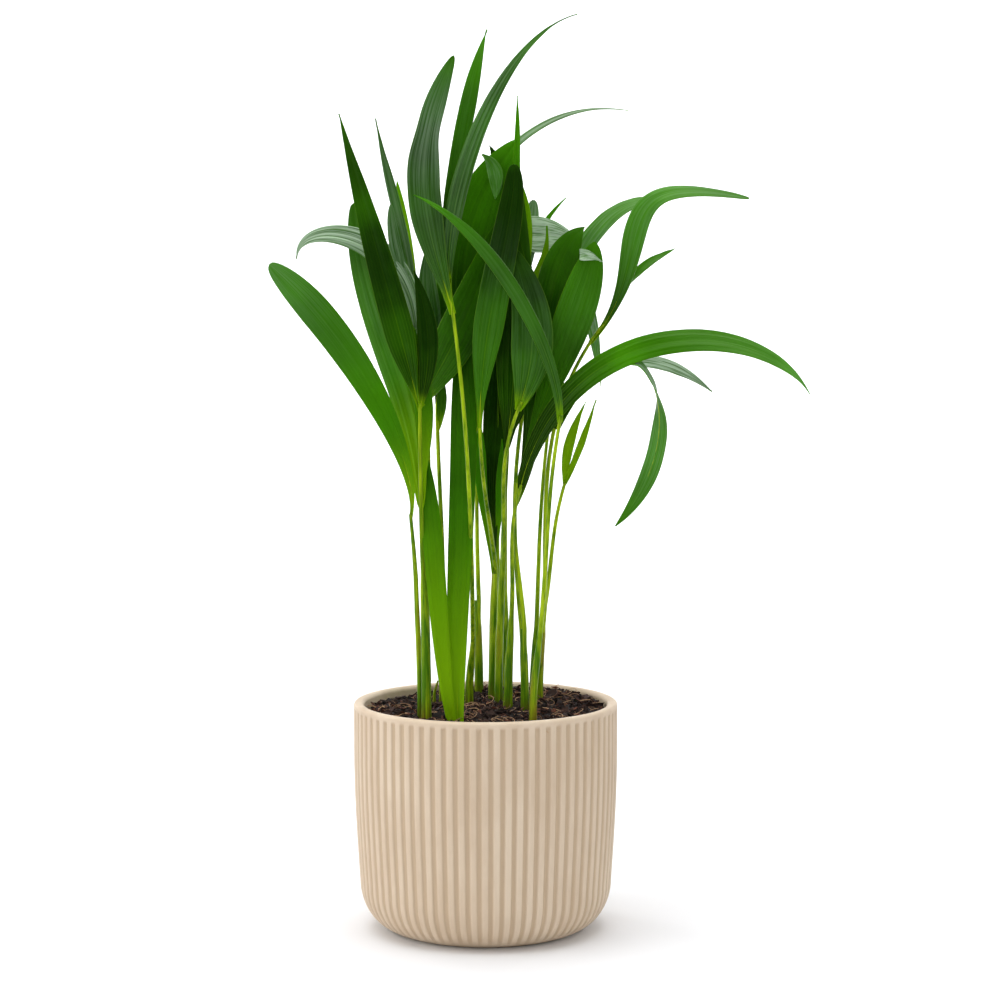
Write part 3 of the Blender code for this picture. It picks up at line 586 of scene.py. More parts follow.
def makeScatterTree():
    tree, given, out = newTree("scattered bits", [
        ("Density", "Float", 1000.0), ("Seed", "Int", 1), ("Smallest", "Float", 0.6),
        ("Largest", "Float", 1.4), ("Tilt", "Float", 0.5), ("Lift", "Float", 0.001),
        ("Bits", "Collection", None), ("Material", "Material", None)])
    points = addNode(tree, "GeometryNodeDistributePointsOnFaces",
                     {"Mesh": given.outputs["Geometry"], "Density": given.outputs["Density"],
                      "Seed": given.outputs["Seed"]})
    lift = addNode(tree, "FunctionNodeRandomValue", {2: 0.0, 3: given.outputs["Lift"], 8: 21},
                   data_type="FLOAT")
    liftVector = addNode(tree, "ShaderNodeCombineXYZ", {2: lift.outputs[1]})
    raised = addNode(tree, "GeometryNodeSetPosition", {"Geometry": points.outputs[0],
                                                      "Offset": liftVector.outputs[0]})
    bits = addNode(tree, "GeometryNodeCollectionInfo",
                   {"Collection": given.outputs["Bits"], "Separate Children": True, "Reset Children": True})
    back = addNode(tree, "ShaderNodeMath", {0: given.outputs["Tilt"], 1: -1.0}, operation="MULTIPLY")
    low = addNode(tree, "ShaderNodeCombineXYZ", {0: back.outputs[0], 1: back.outputs[0], 2: 0.0})
    high = addNode(tree, "ShaderNodeCombineXYZ", {0: given.outputs["Tilt"], 1: given.outputs["Tilt"],
                                                 2: 2 * math.pi})
    turn = addNode(tree, "FunctionNodeRandomValue", {0: low.outputs[0], 1: high.outputs[0], 8: 22},
                   data_type="FLOAT_VECTOR")
    rotation = addNode(tree, "FunctionNodeEulerToRotation", {0: turn.outputs[0]})
    size = addNode(tree, "FunctionNodeRandomValue", {2: given.outputs["Smallest"],
                                                    3: given.outputs["Largest"], 8: 23}, data_type="FLOAT")
    pick = addNode(tree, "FunctionNodeRandomValue", {4: 0, 5: 50, 8: 24}, data_type="INT")
    placed = addNode(tree, "GeometryNodeInstanceOnPoints",
                     {"Points": raised.outputs[0], "Instance": bits.outputs[0], "Pick Instance": True,
                      "Instance Index": pick.outputs[2], "Rotation": rotation.outputs[0],
                      "Scale": size.outputs[1]})
    tint = addNode(tree, "FunctionNodeRandomValue", {2: 0.0, 3: 1.0, 8: 25}, data_type="FLOAT")
    tinted = addNode(tree, "GeometryNodeStoreNamedAttribute",
                     {"Geometry": placed.outputs[0], "Name": "bitTint", "Value": tint.outputs[1]},
                     data_type="FLOAT", domain="INSTANCE")
    real = addNode(tree, "GeometryNodeRealizeInstances", {"Geometry": tinted.outputs[0]})
    addSkin = addNode(tree, "GeometryNodeSetMaterial", {"Geometry": real.outputs[0],
                                                       "Material": given.outputs["Material"]})
    tree.links.new(addSkin.outputs[0], out.inputs[0])
    return tree


soilBits = {
    "crumbs": {"Density": 150000.0, "Smallest": 0.35, "Largest": 1.5, "Tilt": 3.1, "Lift": 0.0010,
               "Material": peat},
    "flakes": {"Density": 34000.0, "Smallest": 0.4, "Largest": 1.2, "Tilt": 0.8, "Lift": 0.0018,
               "Material": bark},
    "chips": {"Density": 12000.0, "Smallest": 0.5, "Largest": 1.3, "Tilt": 0.7, "Lift": 0.0010,
              "Material": peat},
    "fibres": {"Density": 21000.0, "Smallest": 0.45, "Largest": 1.4, "Tilt": 0.35, "Lift": 0.0022,
               "Material": coir}}


def makeSoil():
    bed = makeSoilBed()
    kinds = {
        "crumbs": [bitMesh(f"crumb_{k}", (1.0, 0.8, 0.65), 0.0, 1.1, k) for k in range(5)],
        "flakes": [bitMesh(f"flake_{k}", (2.8, 0.8, 0.25), 0.4, 0.8, k) for k in range(5)],
        "chips": [bitMesh(f"chip_{k}", (2.6, 1.8, 0.6), 0.2, 0.6, k, square=True) for k in range(4)],
        "fibres": [curlMesh(f"fibre_{k}", 10.0, 1.2 + 0.6 * k, 0.2, k) for k in range(7)]}
    tree = makeScatterTree()
    for kind, meshes in kinds.items():
        group = bpy.data.collections.new(kind)
        bits = [bpy.data.objects.new(mesh.name, mesh) for mesh in meshes]
        for bit in bits:
            group.objects.link(bit)
        scattered = newItem("soil_" + kind, surfaceOf(bed))
        useTree(scattered, tree, {**soilBits[kind], "Seed": soilSize["seed"] + len(kind), "Bits": group})
        settle(scattered)
        keep(scattered, "soil")
        for bit in bits:
            bpy.data.objects.remove(bit)
        bpy.data.collections.remove(group)
        print("  ", scattered.name, len(scattered.data.polygons), "faces")
    keep(bed, "soil", "soil")


def surfaceOf(bed):
    # The bed's top alone, a little in from the wall, for bits to lie on.
    form = bmesh.new()
    form.from_mesh(bed.data)
    away = [face for face in form.faces
            if face.normal.z < 0.3 or face.calc_center_median().xy.length > (soilSize["radius"] - 2.2) * mm]
    bmesh.ops.delete(form, geom=away, context="FACES")
    mesh = bpy.data.meshes.new("soil_top")
    form.to_mesh(mesh)
    form.free()
    return mesh


makeSoil()
print("soil made")


# the palm's own measures: the same limbs and leaves as the solids, in the same places

stems = {
    "stem_1": {"foot": (-34.5, -27), "top": (-36.5, -27, 191), "radius": (1.5, 1.3)},
    "stem_2": {"foot": (-31, -33), "top": (-32, -29, 202), "radius": (2.7, 2.2)},
    "stem_3": {"foot": (-28, 16), "top": (-26, 14, 131), "radius": (0.9, 0.7)},
    "stem_4": {"foot": (-24, 16), "top": (-24, 16, 148), "radius": (1.5, 1.3)},
    "stem_5": {"foot": (-15, -38), "top": (-15, -38, 123), "radius": (2.6, 2.0)},
    "stem_6": {"foot": (-9, 16), "top": (-7, 10, 152), "radius": (2.3, 1.8)},
    "stem_7": {"foot": (-4, 48), "top": (-5, 46, 171), "radius": (2.5, 2.1)},
    "stem_8": {"foot": (4, 32), "top": (5, 29, 190), "radius": (2.7, 2.3)},
    "stem_9": {"foot": (7, 12), "top": (9, 7, 198), "radius": (2.2, 1.9)},
    "stem_10": {"foot": (12, -3), "top": (14, -2, 172), "radius": (2.6, 1.6)},
    "stem_11": {"foot": (21, -6), "top": (20, -5, 162), "radius": (2.3, 2.0)},
    "stem_12": {"foot": (25, -36), "top": (29, -35, 166), "radius": (2.1, 1.7)},
    "stem_13": {"foot": (29, 22), "top": (31, 14, 170), "radius": (2.4, 2.2)},
    "stem_14": {"foot": (-33, 40), "top": (-33, 45, 166), "radius": (2.1, 1.8)},
    "stem_15": {"foot": (10.5, 53), "top": (10.5, 57, 174), "radius": (2.2, 1.9)},
    "stem_16": {"foot": (26, 42), "top": (28, 45, 160), "radius": (1.9, 1.6)},
}

# A heading is (lean, toward): lean turns from upright to the right, toward tips out to the front. A face is
# (azimuth from the front, height), at the leaf's root and at its tip. Tint runs from dark to light and is partly
# the leaf's own colour, partly painted shade. The silvery grey setting is how much painted sheen shows, and the
# pale base setting paints the yellow-green base, partly young colour and partly painted glow of light shining
# through.
fronds = {
    "frond_top_fan": {
        "stem": "stem_6", "seat": None, "top": (-20, -31, 353),
        "leave": (0, 40), "arrive": (-9, -2), "leaves": [
            {"at": 0.9, "tip": (-16, -34, 463), "leave": (-16, 2), "arrive": (25, 4),
             "width": 17.8, "face": ((-10, 5), (-15, 5), (-15, 10), (38, 20), (-10, 10)), "base": 0.2,
             "peak": 0.46, "swell": 1.6, "blunt": 0.5, "handles": (0.38, 0.48),
             "tint": (0.25, 0.2, 0.15, 0.25, 0.4), "silver": (0.02, 0.04, 0.06, 0.22, 0.0), "pleat": 1.4},
            {"at": 0.98, "tip": (1, -14, 478), "leave": (-16, -6), "arrive": (21, 0),
             "width": 9.2, "face": ((10, 5), (20, 10)), "base": 0.45, "peak": 0.62, "blunt": 1.5,
             "handles": (0.15, 0.15), "tint": (0.25, 0.25, 0.6, 1.1), "silver": (0, 0, 0.02, 0.03)},
            {"at": 0.94, "tip": (47, -45, 483), "leave": (-10, -2), "arrive": (77, 10),
             "width": 9.6, "face": ((15, 10), (0, 40)), "base": 0.25, "peak": 0.31, "swell": 1.4,
             "blunt": 1.4, "handles": (0.27, 0.28), "tint": (0.15, 0.3, 0.4, 0.5), "silver": (0.03, 0.07, 0.1, 0.08, 0.05),
             "pleat": 4.5},
        ]},
    "frond_front_blade": {
        "stem": "stem_12", "seat": None, "top": (39, -52, 279),
        "leave": (5, 8), "arrive": (10, 8), "leaves": [
            {"at": 0.97, "tip": (-36, -62, 391), "leave": (2, 6), "arrive": (-69, 0),
             "width": 8.6, "face": ((15, 10), (20, 40)), "base": 0.4, "peak": 0.6, "blunt": 1.0,
             "handles": (0.25, 0.31), "tint": (0.3, 0.3, 0.3, 0.5, 0.9), "silver": (0.03, 0.03, 0.0)},
        ]},
    "frond_right": {
        "stem": "stem_10", "seat": None, "top": (19, -15, 240),
        "leave": (3, 12), "arrive": (18, 12), "leaves": [
            {"at": 0.97, "tip": (166, -60, 290), "leave": (13, 10), "arrive": (151, 8),
             "width": 14.4, "face": ((-10, 15), (-10, 48)), "base": 0.2, "peak": 0.5, "swell": 0.5,
             "blunt": 1.05, "handles": (0.62, 0.29), "tint": (-0.3, 0.1, 0.7, 0.5, 0.7, 1.3),
             "silver": (0, 0, 0, 0.04, 0.1), "youngAndGlow": 0},
            {"root": (64, -32.5, 305.5), "tip": (120, -8, 289), "leave": (84, -16), "arrive": (130, -10),
             "width": 8, "face": ((-10, 30), (-10, 30)), "base": 0.5, "tint": 0.4, "silver": (0.2, 0.8, 0.65, 0.3),
             "youngAndGlow": 0},
            {"root": (37, -24, 270), "tip": (67, -56, 222), "leave": (24, 2), "arrive": (223, 0),
             "width": 9.9, "face": ((-20, 0), (-20, 10), (80, 45), (150, 10), (160, 0)), "base": 0.5,
             "peak": 0.8, "swell": 0.8, "blunt": 0.77, "handles": (1.45, 1.13),
             "tint": (0.1, 0.75, 0.7, 0.5, 0.55, 0.6), "silver": (0, 0, 0.05, 0.1, 0.08, 0), "youngAndGlow": 0},
        ]},
    "frond_upper_right": {
        "stem": "stem_13", "seat": -60, "top": (63, 14, 324),
        "leave": (1, 6), "arrive": (38, -2), "leaves": [
            {"at": 0.93, "tip": (140, 4, 391), "leave": (42, 2), "arrive": (102, 4),
             "width": 12.6, "face": ((-10, 10), (0, 50)), "base": 0.2, "peak": 0.48, "swell": 1.8,
             "blunt": 0.5, "handles": (0.54, 0.78), "tint": (0.2, 0.7, 0.65), "silver": (0, 0.06, 0.1)},
            {"root": (74, 13, 343), "tip": (103, 36, 365), "leave": (34, -26), "arrive": (66, -40),
             "width": 5, "face": ((0, 20), (0, 40)), "base": 0.3, "tint": 0.6},
        ]},
    "frond_behind_right": {
        "stem": "stem_11", "seat": 120, "top": (42, 45, 350),
        "leave": (-6, -8), "arrive": (22, -12), "leaves": [
            {"at": 0.95, "tip": (92, 54, 392), "leave": (32, -8), "arrive": (86, -4),
             "width": 11.5, "face": ((-10, 30), (-10, 50)), "peak": 0.5, "blunt": 0.4,
             "tint": (0.6, 0.8), "silver": 0.1},
            {"at": 1.0, "tip": (63.5, 52, 289), "leave": (120, 2), "arrive": (172, 0),
             "width": 7.5, "face": ((0, 0), (0, 0)), "base": 0.3, "handles": (0.28, 0.5),
             "tint": (0.5, 0.5, 1.2),
             "silver": (0.3, 0.6, 0.3, 0), "youngAndGlow": 0},
        ]},
    "frond_broad_pair": {
        "stem": "stem_11", "seat": -60, "top": (17, -2, 240),
        "leave": (-4, 0), "arrive": (8, 0), "leaves": [
            {"at": 0.85, "tip": (53, 18, 376), "leave": (25, -8), "arrive": (57, -6),
             "width": 21, "face": ((-10, 5), (-20, 15)), "base": 0.12, "peak": 0.75, "swell": 1.3,
             "blunt": 0.87, "handles": (0.24, 0.2), "tint": (0.0, 0.05, 0.1, 0.35)},
            {"at": 0.97, "tip": (58, 4, 368), "leave": (15, 0), "arrive": (7, -4),
             "width": 21, "face": ((0, 5), (5, 15)), "base": 0.12, "peak": 0.63, "swell": 2.2, "blunt": 0.6,
             "handles": (0.43, 0.2), "tint": (0.1, 0.35, 0.5, 0.6), "silver": (0, 0, 0.02, 0)},
            {"root": (50, 1, 361), "tip": (62, 1, 357.5), "leave": (88, 4), "arrive": (120, 0),
             "width": 7, "face": ((0, 20), (0, 10)), "base": 1.0, "peak": 0.02, "blunt": 1.4,
             "tint": 0.6, "silver": 0.8, "youngAndGlow": 0},
        ]},
    "frond_behind_centre": {
        "stem": "stem_7", "seat": -50, "top": (-5, 30, 268),
        "leave": (-2, 8), "arrive": (0, 6), "leaves": [
            {"at": 0.95, "tip": (18, 24, 423), "leave": (-10, 6), "arrive": (40, 2),
             "width": 30, "face": ((0, 0), (0, 15)), "peak": 0.6, "swell": 1.3, "blunt": 0.6,
             "tint": (0.1, 0.2, 0.3, 0.8)},
            {"root": (12.3, 21, 262), "tip": (15, 18, 405), "leave": (20, 0), "arrive": (-2, 0),
             "width": 17.6, "face": ((10, 0), (15, 10)), "base": 0.1, "peak": 0.37, "swell": 1.3,
             "blunt": 0.3, "handles": (0.24, 0.46), "tint": (0.0, 0.0, 0.1)},
            {"root": (-2, 22, 415), "tip": (5, 20, 391), "leave": (122, 6), "arrive": (190, 0),
             "width": 8.4, "face": ((-10, 10), (-10, 0)), "base": 0.1, "peak": 0.5, "blunt": 0.8,
             "tint": 0.6, "silver": 0.08, "youngAndGlow": 0},
            {"root": (5, 26, 188), "tip": (8, 26, 330), "leave": (-4, 0), "arrive": (0, 0),
             "width": 15, "face": ((0, 0), (0, 0)), "base": 0.1, "peak": 0.66, "swell": 1.4, "blunt": 0.6,
             "tint": 0.0, "youngAndGlow": 0},
            {"root": (6, 26, 411), "tip": (2, 26, 420), "leave": (-20, 0), "arrive": (-30, 0),
             "width": 3.5, "face": ((0, 0), (0, 0)), "base": 0.8, "peak": 0.2, "tint": 0.1, "youngAndGlow": 0},
        ]},
    "frond_left": {
        "stem": "stem_2", "seat": -120, "top": (-34, -31, 284),
        "leave": (-2, 2), "arrive": (0, 0), "leaves": [
            {"at": 0.95, "tip": (-76, -24, 434), "leave": (-13, 2), "arrive": (-15, -6),
             "width": 16.5, "face": ((-10, 0), (-10, 10)), "base": 0.14, "peak": 0.3, "swell": 2.2,
             "blunt": 1.13, "handles": (0.25, 0.27), "tint": (0.3, 0.1, 0.06, 0.06, 0.15, 0.4), "fold": 14},
            {"at": 0.3, "tip": (-71, 22, 389), "leave": (0, -10), "arrive": (-4, -6),
             "width": 17, "face": ((-20, 0), (-20, 10)), "base": 0.1, "peak": 0.55, "swell": 0.55,
             "blunt": 0.38, "tint": (0.6, 0.55, 0.55, 0.35, 0.35), "silver": (0, 0, 0.04, 0), "youngAndGlow": 0.4},
            {"at": 0.97, "tip": (-37, -29, 353), "leave": (14, 2), "arrive": (-18, 0),
             "width": 11, "face": ((10, 0), (10, 0)), "peak": 0.5, "tint": (0.1, -0.1, -0.1)},
            {"at": 0.99, "tip": (6, 22, 378), "leave": (28, -34), "arrive": (12, -2),
             "width": 24, "face": ((25, 0), (15, 10)), "blunt": 0.6, "tint": (0.5, 0.3, 0.4, 0.2)},
            {"at": 0.35, "tip": (-40, -30, 330), "leave": (4, -2), "arrive": (-16, 0),
             "width": 10, "face": ((20, 0), (10, 0)), "peak": 0.5, "swell": 1.5, "tint": 0.5, "youngAndGlow": 0.55},
        ]},
    "frond_far_left": {
        "stem": "stem_1", "seat": None, "top": (-39, -34, 226),
        "leave": (-3, 8), "arrive": (-5, 9), "leaves": [
            {"at": 0.96, "tip": (-108.5, -72, 356), "leave": (13, 8), "arrive": (-49, 16),
             "width": 17.2, "face": ((0, 10), (0, 30)), "base": 0.1, "peak": 0.79, "swell": 1.6,
             "blunt": 0.42, "handles": (0.19, 0.36), "tint": (1.0, 0.75, 0.7, 0.6, 0.7),
             "silver": (0, 0, 0.0, 0.03, 0.1), "youngAndGlow": 0.35, "fold": 5,
             "pleat": 0.4},
        ]},
    "frond_arching_left": {
        "stem": "stem_2", "seat": 60, "top": (-38, -2, 314),
        "leave": (-2, -10), "arrive": (-6, -8), "leaves": [
            {"root": (-37, -4, 322), "tip": (-101, 12, 359), "leave": (-4, -6), "arrive": (-182, -4),
             "width": 13.7, "face": ((0, 0), (0, 20)), "base": 0.6, "peak": 0.3, "blunt": 1.1,
             "handles": (0.74, 0.31), "tint": 0.3, "silver": (0.25, 0.5, 0.65, 0.6), "pleat": 3.5,
             "youngAndGlow": 0},
            {"root": (-26, 22.5, 266), "tip": (-25, 15, 302), "leave": (10, 0), "arrive": (-10, 0),
             "width": 5.5, "face": ((0, 0), (0, 0)), "tint": 0.4, "youngAndGlow": 0.3},
            {"at": 0.98, "tip": (-59, 20, 434), "leave": (8, -8), "arrive": (-9, 0),
             "width": 5.6, "face": ((0, 10), (0, 10)), "base": 0.3, "peak": 0.6, "blunt": 1.6,
             "handles": (0.28, 0.24), "tint": 0.2, "silver": 0.1, "youngAndGlow": 0},
            {"at": 1.0, "tip": (-48, 32, 401), "leave": (-5, -16), "arrive": (-9, -14),
             "width": 8.5, "face": ((0, 10), (0, 10)), "blunt": 0.6, "tint": 1.0, "youngAndGlow": 1.6},
            {"root": (-40, 0, 338), "tip": (-50, 0, 388), "leave": (-14, -2), "arrive": (-2, 0),
             "width": 8, "face": ((-15, 5), (-15, 20)), "base": 0.6, "peak": 0.5, "blunt": 0.5,
             "tint": 0.3, "silver": 0.14, "youngAndGlow": 0},
            {"root": (-26.2, 23.5, 281), "tip": (-31, 8, 365), "leave": (2, 4), "arrive": (4, 6),
             "width": 12, "face": ((15, 0), (0, 10)), "base": 0.2, "peak": 0.6, "swell": 1.2, "blunt": 0.7,
             "tint": 0.3, "silver": 0.1, "youngAndGlow": 0},
        ]},
    "frond_front_pair": {
        "stem": "stem_5", "seat": None, "top": (-16, -36.5, 132),
        "leave": (0, 0), "arrive": (-2, 0), "leaves": [
            {"root": (-16.2, -43, 112), "tip": (-42, -10, 291), "leave": (-12, 8), "arrive": (-19, -16),
             "width": 10.6, "face": ((8, 0), (0, 0)), "base": 0.42, "peak": 0.57, "blunt": 1.6,
             "handles": (0.28, 0.31), "tint": (0.9, 0.65, 0.5, 0.45), "youngAndGlow": 0.7, "fold": 4},
            {"root": (-13.6, -43, 112), "tip": (-13, 6, 322), "leave": (-5, -5), "arrive": (-4, -16),
             "width": 14, "face": ((-8, 0), (0, 0)), "base": 0.4, "peak": 0.75, "swell": 0.8, "blunt": 0.5,
             "handles": (0.26, 0.36), "tint": (0.85, 0.6, 0.4, 0.15), "youngAndGlow": 0.55, "fold": 6},
        ]},
    "frond_pale_centre": {
        "stem": "stem_8", "seat": -80, "top": (-3, -13, 270),
        "leave": (-6, 24), "arrive": (-2, 4), "leaves": [
            {"root": (4, 27, 188), "tip": (-3, 20, 271), "leave": (-8, 0), "arrive": (2, 0),
             "width": 6.8, "face": ((0, 0), (0, 0)), "base": 0.2, "peak": 0.75, "swell": 2.2, "blunt": 0.8,
             "tint": 0.8, "youngAndGlow": 0.5},
            {"root": (5, 27, 188), "tip": (9, 22, 262), "leave": (4, 0), "arrive": (2, 0),
             "width": 5, "face": ((0, 0), (0, 0)), "base": 0.2, "peak": 0.7, "swell": 2.2, "tint": 0.7,
             "youngAndGlow": 0.5},
            {"at": 0.97, "tip": (15, 6, 409), "leave": (-1, 0), "arrive": (-5, -10),
             "width": 16.5, "face": ((0, 0), (5, 10)), "base": 0.14, "peak": 0.36, "swell": 1.8,
             "blunt": 0.36, "handles": (0.42, 0.2), "tint": (0.65, 0.6, 0.4, -0.1, -0.25, 0.1),
             "silver": (0.01, 0.02, 0.02, 0.0, 0.0)},
        ]},
    "frond_ribbed_centre": {
        "stem": "stem_9", "seat": -60, "top": (19, -17, 284),
        "leave": (2, 10), "arrive": (24, 4), "leaves": [
            {"at": 0.72, "tip": (16, 8, 372), "leave": (6, -10), "arrive": (-2, -4),
             "width": 20, "face": ((10, 0), (0, 10)), "peak": 0.45, "blunt": 0.6, "tint": 0.0, "youngAndGlow": 0},
            {"at": 0.95, "tip": (13, 2, 367), "leave": (20, -2), "arrive": (-24, -4),
             "width": 22.5, "face": ((0, 0), (0, 10)), "base": 0.18, "peak": 0.4, "swell": 1.0,
             "blunt": 0.7, "tint": (0.3, 0.3, 0.2, 0.1, 0.0),
             "silver": (0.02, 0.03, 0.03, 0.02, 0.0)},
        ]},
    "frond_small": {
        "stem": "stem_13", "seat": 60, "top": (43, 24, 238),
        "leave": (10, -6), "arrive": (17, -4), "leaves": [
            {"at": 0.99, "tip": (54, 24, 282), "leave": (0, 0), "arrive": (25, 2),
             "width": 5.6, "face": ((0, 0), (0, 0)), "base": 0.3, "peak": 0.45, "blunt": 1.1,
             "tint": (1.0, 0.75, 1.0), "youngAndGlow": 2.5},
            {"at": 0.99, "tip": (60, 28, 283), "leave": (24, -2), "arrive": (18, -4),
             "width": 3.9, "face": ((0, 0), (0, 0)), "base": 0.4, "peak": 0.45, "blunt": 1.1,
             "tint": (1.0, 0.8, 1.0), "youngAndGlow": 3.0},
        ]},
    "frond_spear": {
        "stem": "stem_8", "seat": 30, "top": (7, 27, 262),
        "leave": (-2, 2), "arrive": (2, 2), "leaves": [
            {"at": 0.97, "tip": (17, 20, 446), "leave": (3, 2), "arrive": (0, 0),
             "width": 9, "face": ((10, 0), (10, 10)), "peak": 0.3, "blunt": 0.7, "tint": (0.2, 0.2, 0.6, 1.0),
             "fold": 30},
        ]},
    "frond_silvery": {
        "stem": "stem_9", "seat": 90, "top": (15, 30, 325),
        "leave": (2, -14), "arrive": (2, -6), "leaves": [
            {"root": (19, 37, 372), "tip": (50, 42, 369), "leave": (86, 0), "arrive": (108, 0),
             "width": 21, "face": ((0, 10), (0, 20)), "base": 0.7, "peak": 0.2, "blunt": 0.75,
             "tint": 0.5, "silver": 0.95, "pleat": 0.5, "youngAndGlow": 0},
            {"at": 1.0, "tip": (44, 56, 393), "leave": (12, -16), "arrive": (46, -20),
             "width": 5, "face": ((0, 0), (0, 0)), "tint": 0.8, "youngAndGlow": 0.5},
            {"at": 1.0, "tip": (26, 42, 391), "leave": (4, -8), "arrive": (6, -2),
             "width": 11, "face": ((0, 0), (0, 0)), "peak": 0.6, "blunt": 0.35, "tint": 0.4, "silver": 0.3},
            {"at": 1.0, "tip": (33, 30, 377), "leave": (22, -2), "arrive": (-6, 0),
             "width": 5, "face": ((0, 0), (0, 0)), "tint": 0.8, "youngAndGlow": 1.6},
            {"at": 1.0, "tip": (15.5, 28, 408), "leave": (14, 0), "arrive": (-16, 0),
             "width": 8, "face": ((0, 0), (0, 0)), "base": 0.2, "peak": 0.65, "swell": 1.4, "blunt": 0.9,
             "tint": 0.95, "youngAndGlow": 1.6},
        ]},
    "frond_long_arch": {
        "stem": "stem_4", "seat": None, "top": (-18, 30, 366),
        "leave": (3, -2), "arrive": (12, -4), "leaves": [
            {"at": 0.97, "tip": (78, 50, 440), "leave": (12, -6), "arrive": (100, -8),
             "width": 5, "face": ((0, 20), (0, 50)), "peak": 0.4, "tint": 0.3, "silver": 0.3, "youngAndGlow": 0},
        ]},
}

backFans = {
    "frond_back_left": {
        "stem": "stem_14", "top": (-33, 54, 282), "leave": (0, -2), "arrive": (-4, -6),
        "turns": (214, 176), "reach": (58, 84), "rise": (34, 66), "width": 15},
    "frond_back_centre": {
        "stem": "stem_15", "top": (11, 68, 296), "leave": (0, -2), "arrive": (0, -8),
        "turns": (206, 158), "reach": (78, 82), "rise": (76, 34), "width": 16},
    "frond_back_right": {
        "stem": "stem_16", "top": (36, 60, 276), "leave": (2, -4), "arrive": (8, -6),
        "turns": (176, 150), "reach": (86, 44), "rise": (30, 56), "width": 14},
}
backLeaf = {"count": 3, "lift": 0.42, "droop": 0.35}

limbSize = {"gap": 0.3, "seatShare": 0.75, "stalkRadius": (1.3, 0.9), "footRun": 4.0, "soil": 118.0}


def heading(lean, toward):
    level = math.cos(math.radians(toward))
    return Vector((level * math.sin(math.radians(lean)), -math.sin(math.radians(toward)),
                   level * math.cos(math.radians(lean))))


def facing(azimuth, height):
    level = math.cos(math.radians(height))
    return Vector((level * math.sin(math.radians(azimuth)), -level * math.cos(math.radians(azimuth)),
                   math.sin(math.radians(height))))


class Bend:
    # A smooth run between two ends, each with its own heading.
    def __init__(self, start, leave, end, arrive, handles=(0.38, 0.38)):
        reach = (end - start).length
        self.points = (start, start + leave * reach * handles[0], end - arrive * reach * handles[1], end)

    def at(self, share):
        a, b, c, d = self.points
        rest = 1.0 - share
        return a * rest ** 3 + b * 3 * rest ** 2 * share + c * 3 * rest * share ** 2 + d * share ** 3

    def along(self, share):
        a, b, c, d = self.points
        rest = 1.0 - share
        return ((b - a) * rest ** 2 + (c - b) * 2 * rest * share + (d - c) * share ** 2).normalized()

    def length(self, pieces=24):
        spots = [self.at(k / pieces) for k in range(pieces + 1)]
        return sum((q - p).length for p, q in zip(spots, spots[1:]))


def stemBend(stem):
    foot = Vector((*stem["foot"], limbSize["soil"] + limbSize["gap"] + limbSize["footRun"]))
    top = Vector(stem["top"])
    return Bend(foot, Vector((0, 0, 1)), top, (top - foot).normalized())


def stalkBend(frond):
    stem = stems[frond["stem"]]
    along = stemBend(stem).along(1.0)
    leave = heading(*frond["leave"])
    tilt = along.cross(leave).length
    start = Vector(stem["top"]) + along * (limbSize["gap"] + limbSize["stalkRadius"][0] * tilt)
    if frond["seat"] is not None:
        angle = math.radians(frond["seat"])
        ring = stem["radius"][1] * limbSize["seatShare"]
        start += Vector((math.cos(angle) * ring, math.sin(angle) * ring, 0.0))
    return Bend(start, leave, Vector(frond["top"]), heading(*frond["arrive"]))


def leafBend(leaf, stalk):
    root = Vector(leaf["root"]) if "root" in leaf else stalk.at(leaf["at"])
    return Bend(root, heading(*leaf["leave"]), Vector(leaf["tip"]), heading(*leaf["arrive"]),
                leaf.get("handles", (0.38, 0.38)))


def leafShare(leaf, share):
    peak = leaf.get("peak", 0.42)
    base = leaf.get("base", 0.16)
    if share < peak:
        return base + (1.0 - base) * math.sin(share / peak * math.pi / 2) ** leaf.get("swell", 1.0)
    return max(0.0, math.cos((share - peak) / (1.0 - peak) * math.pi / 2)) ** leaf.get("blunt", 0.9)


def faceWay(leaf, share):
    # where the upper side looks: evenly spread settings, with a smooth turn from each to the next
    place = share * (len(leaf["face"]) - 1)
    step = min(int(place), len(leaf["face"]) - 2)
    part = place - step
    part = part * part * (3.0 - 2.0 * part) if len(leaf["face"]) > 2 else part
    before, after = leaf["face"][step:step + 2]
    return facing(before[0] + (after[0] - before[0]) * part, before[1] + (after[1] - before[1]) * part)


def leanAndToward(direction):
    way = direction.normalized()
    return math.degrees(math.atan2(way.x, way.z)), math.degrees(math.asin(-way.y))


def fanFrond(fan):
    leaves = []
    for k in range(backLeaf["count"]):
        share = k / (backLeaf["count"] - 1)
        turn, reach, rise = (first + (last - first) * share
                             for first, last in (fan["turns"], fan["reach"], fan["rise"]))
        out = facing(turn, 0)
        up = Vector((0, 0, 1))
        leaves.append({
            "at": 0.95, "tip": tuple(Vector(fan["top"]) + out * reach + up * rise), "width": fan["width"],
            "peak": 0.5, "leave": leanAndToward(up + out * backLeaf["lift"]),
            "arrive": leanAndToward(out - up * backLeaf["droop"]),
            "face": ((turn - 180, 20), (turn - 180, 70)), "tint": 0.25 + 0.2 * k})
    return {**fan, "seat": None, "leaves": leaves}


allFronds = {**fronds, **{name: fanFrond(fan) for name, fan in backFans.items()}}


# leaf blades

bladeSize = {
    "rows": 80, "columnStep": 0.5, "fold": 9.0, "foldAtRoot": 32.0, "cup": 0.16, "pleatStep": 3.2,
    "pleatDepth": 0.13, "ribHeight": 0.3, "ripple": 1.6, "veinStep": 1.7, "thickness": 0.42}


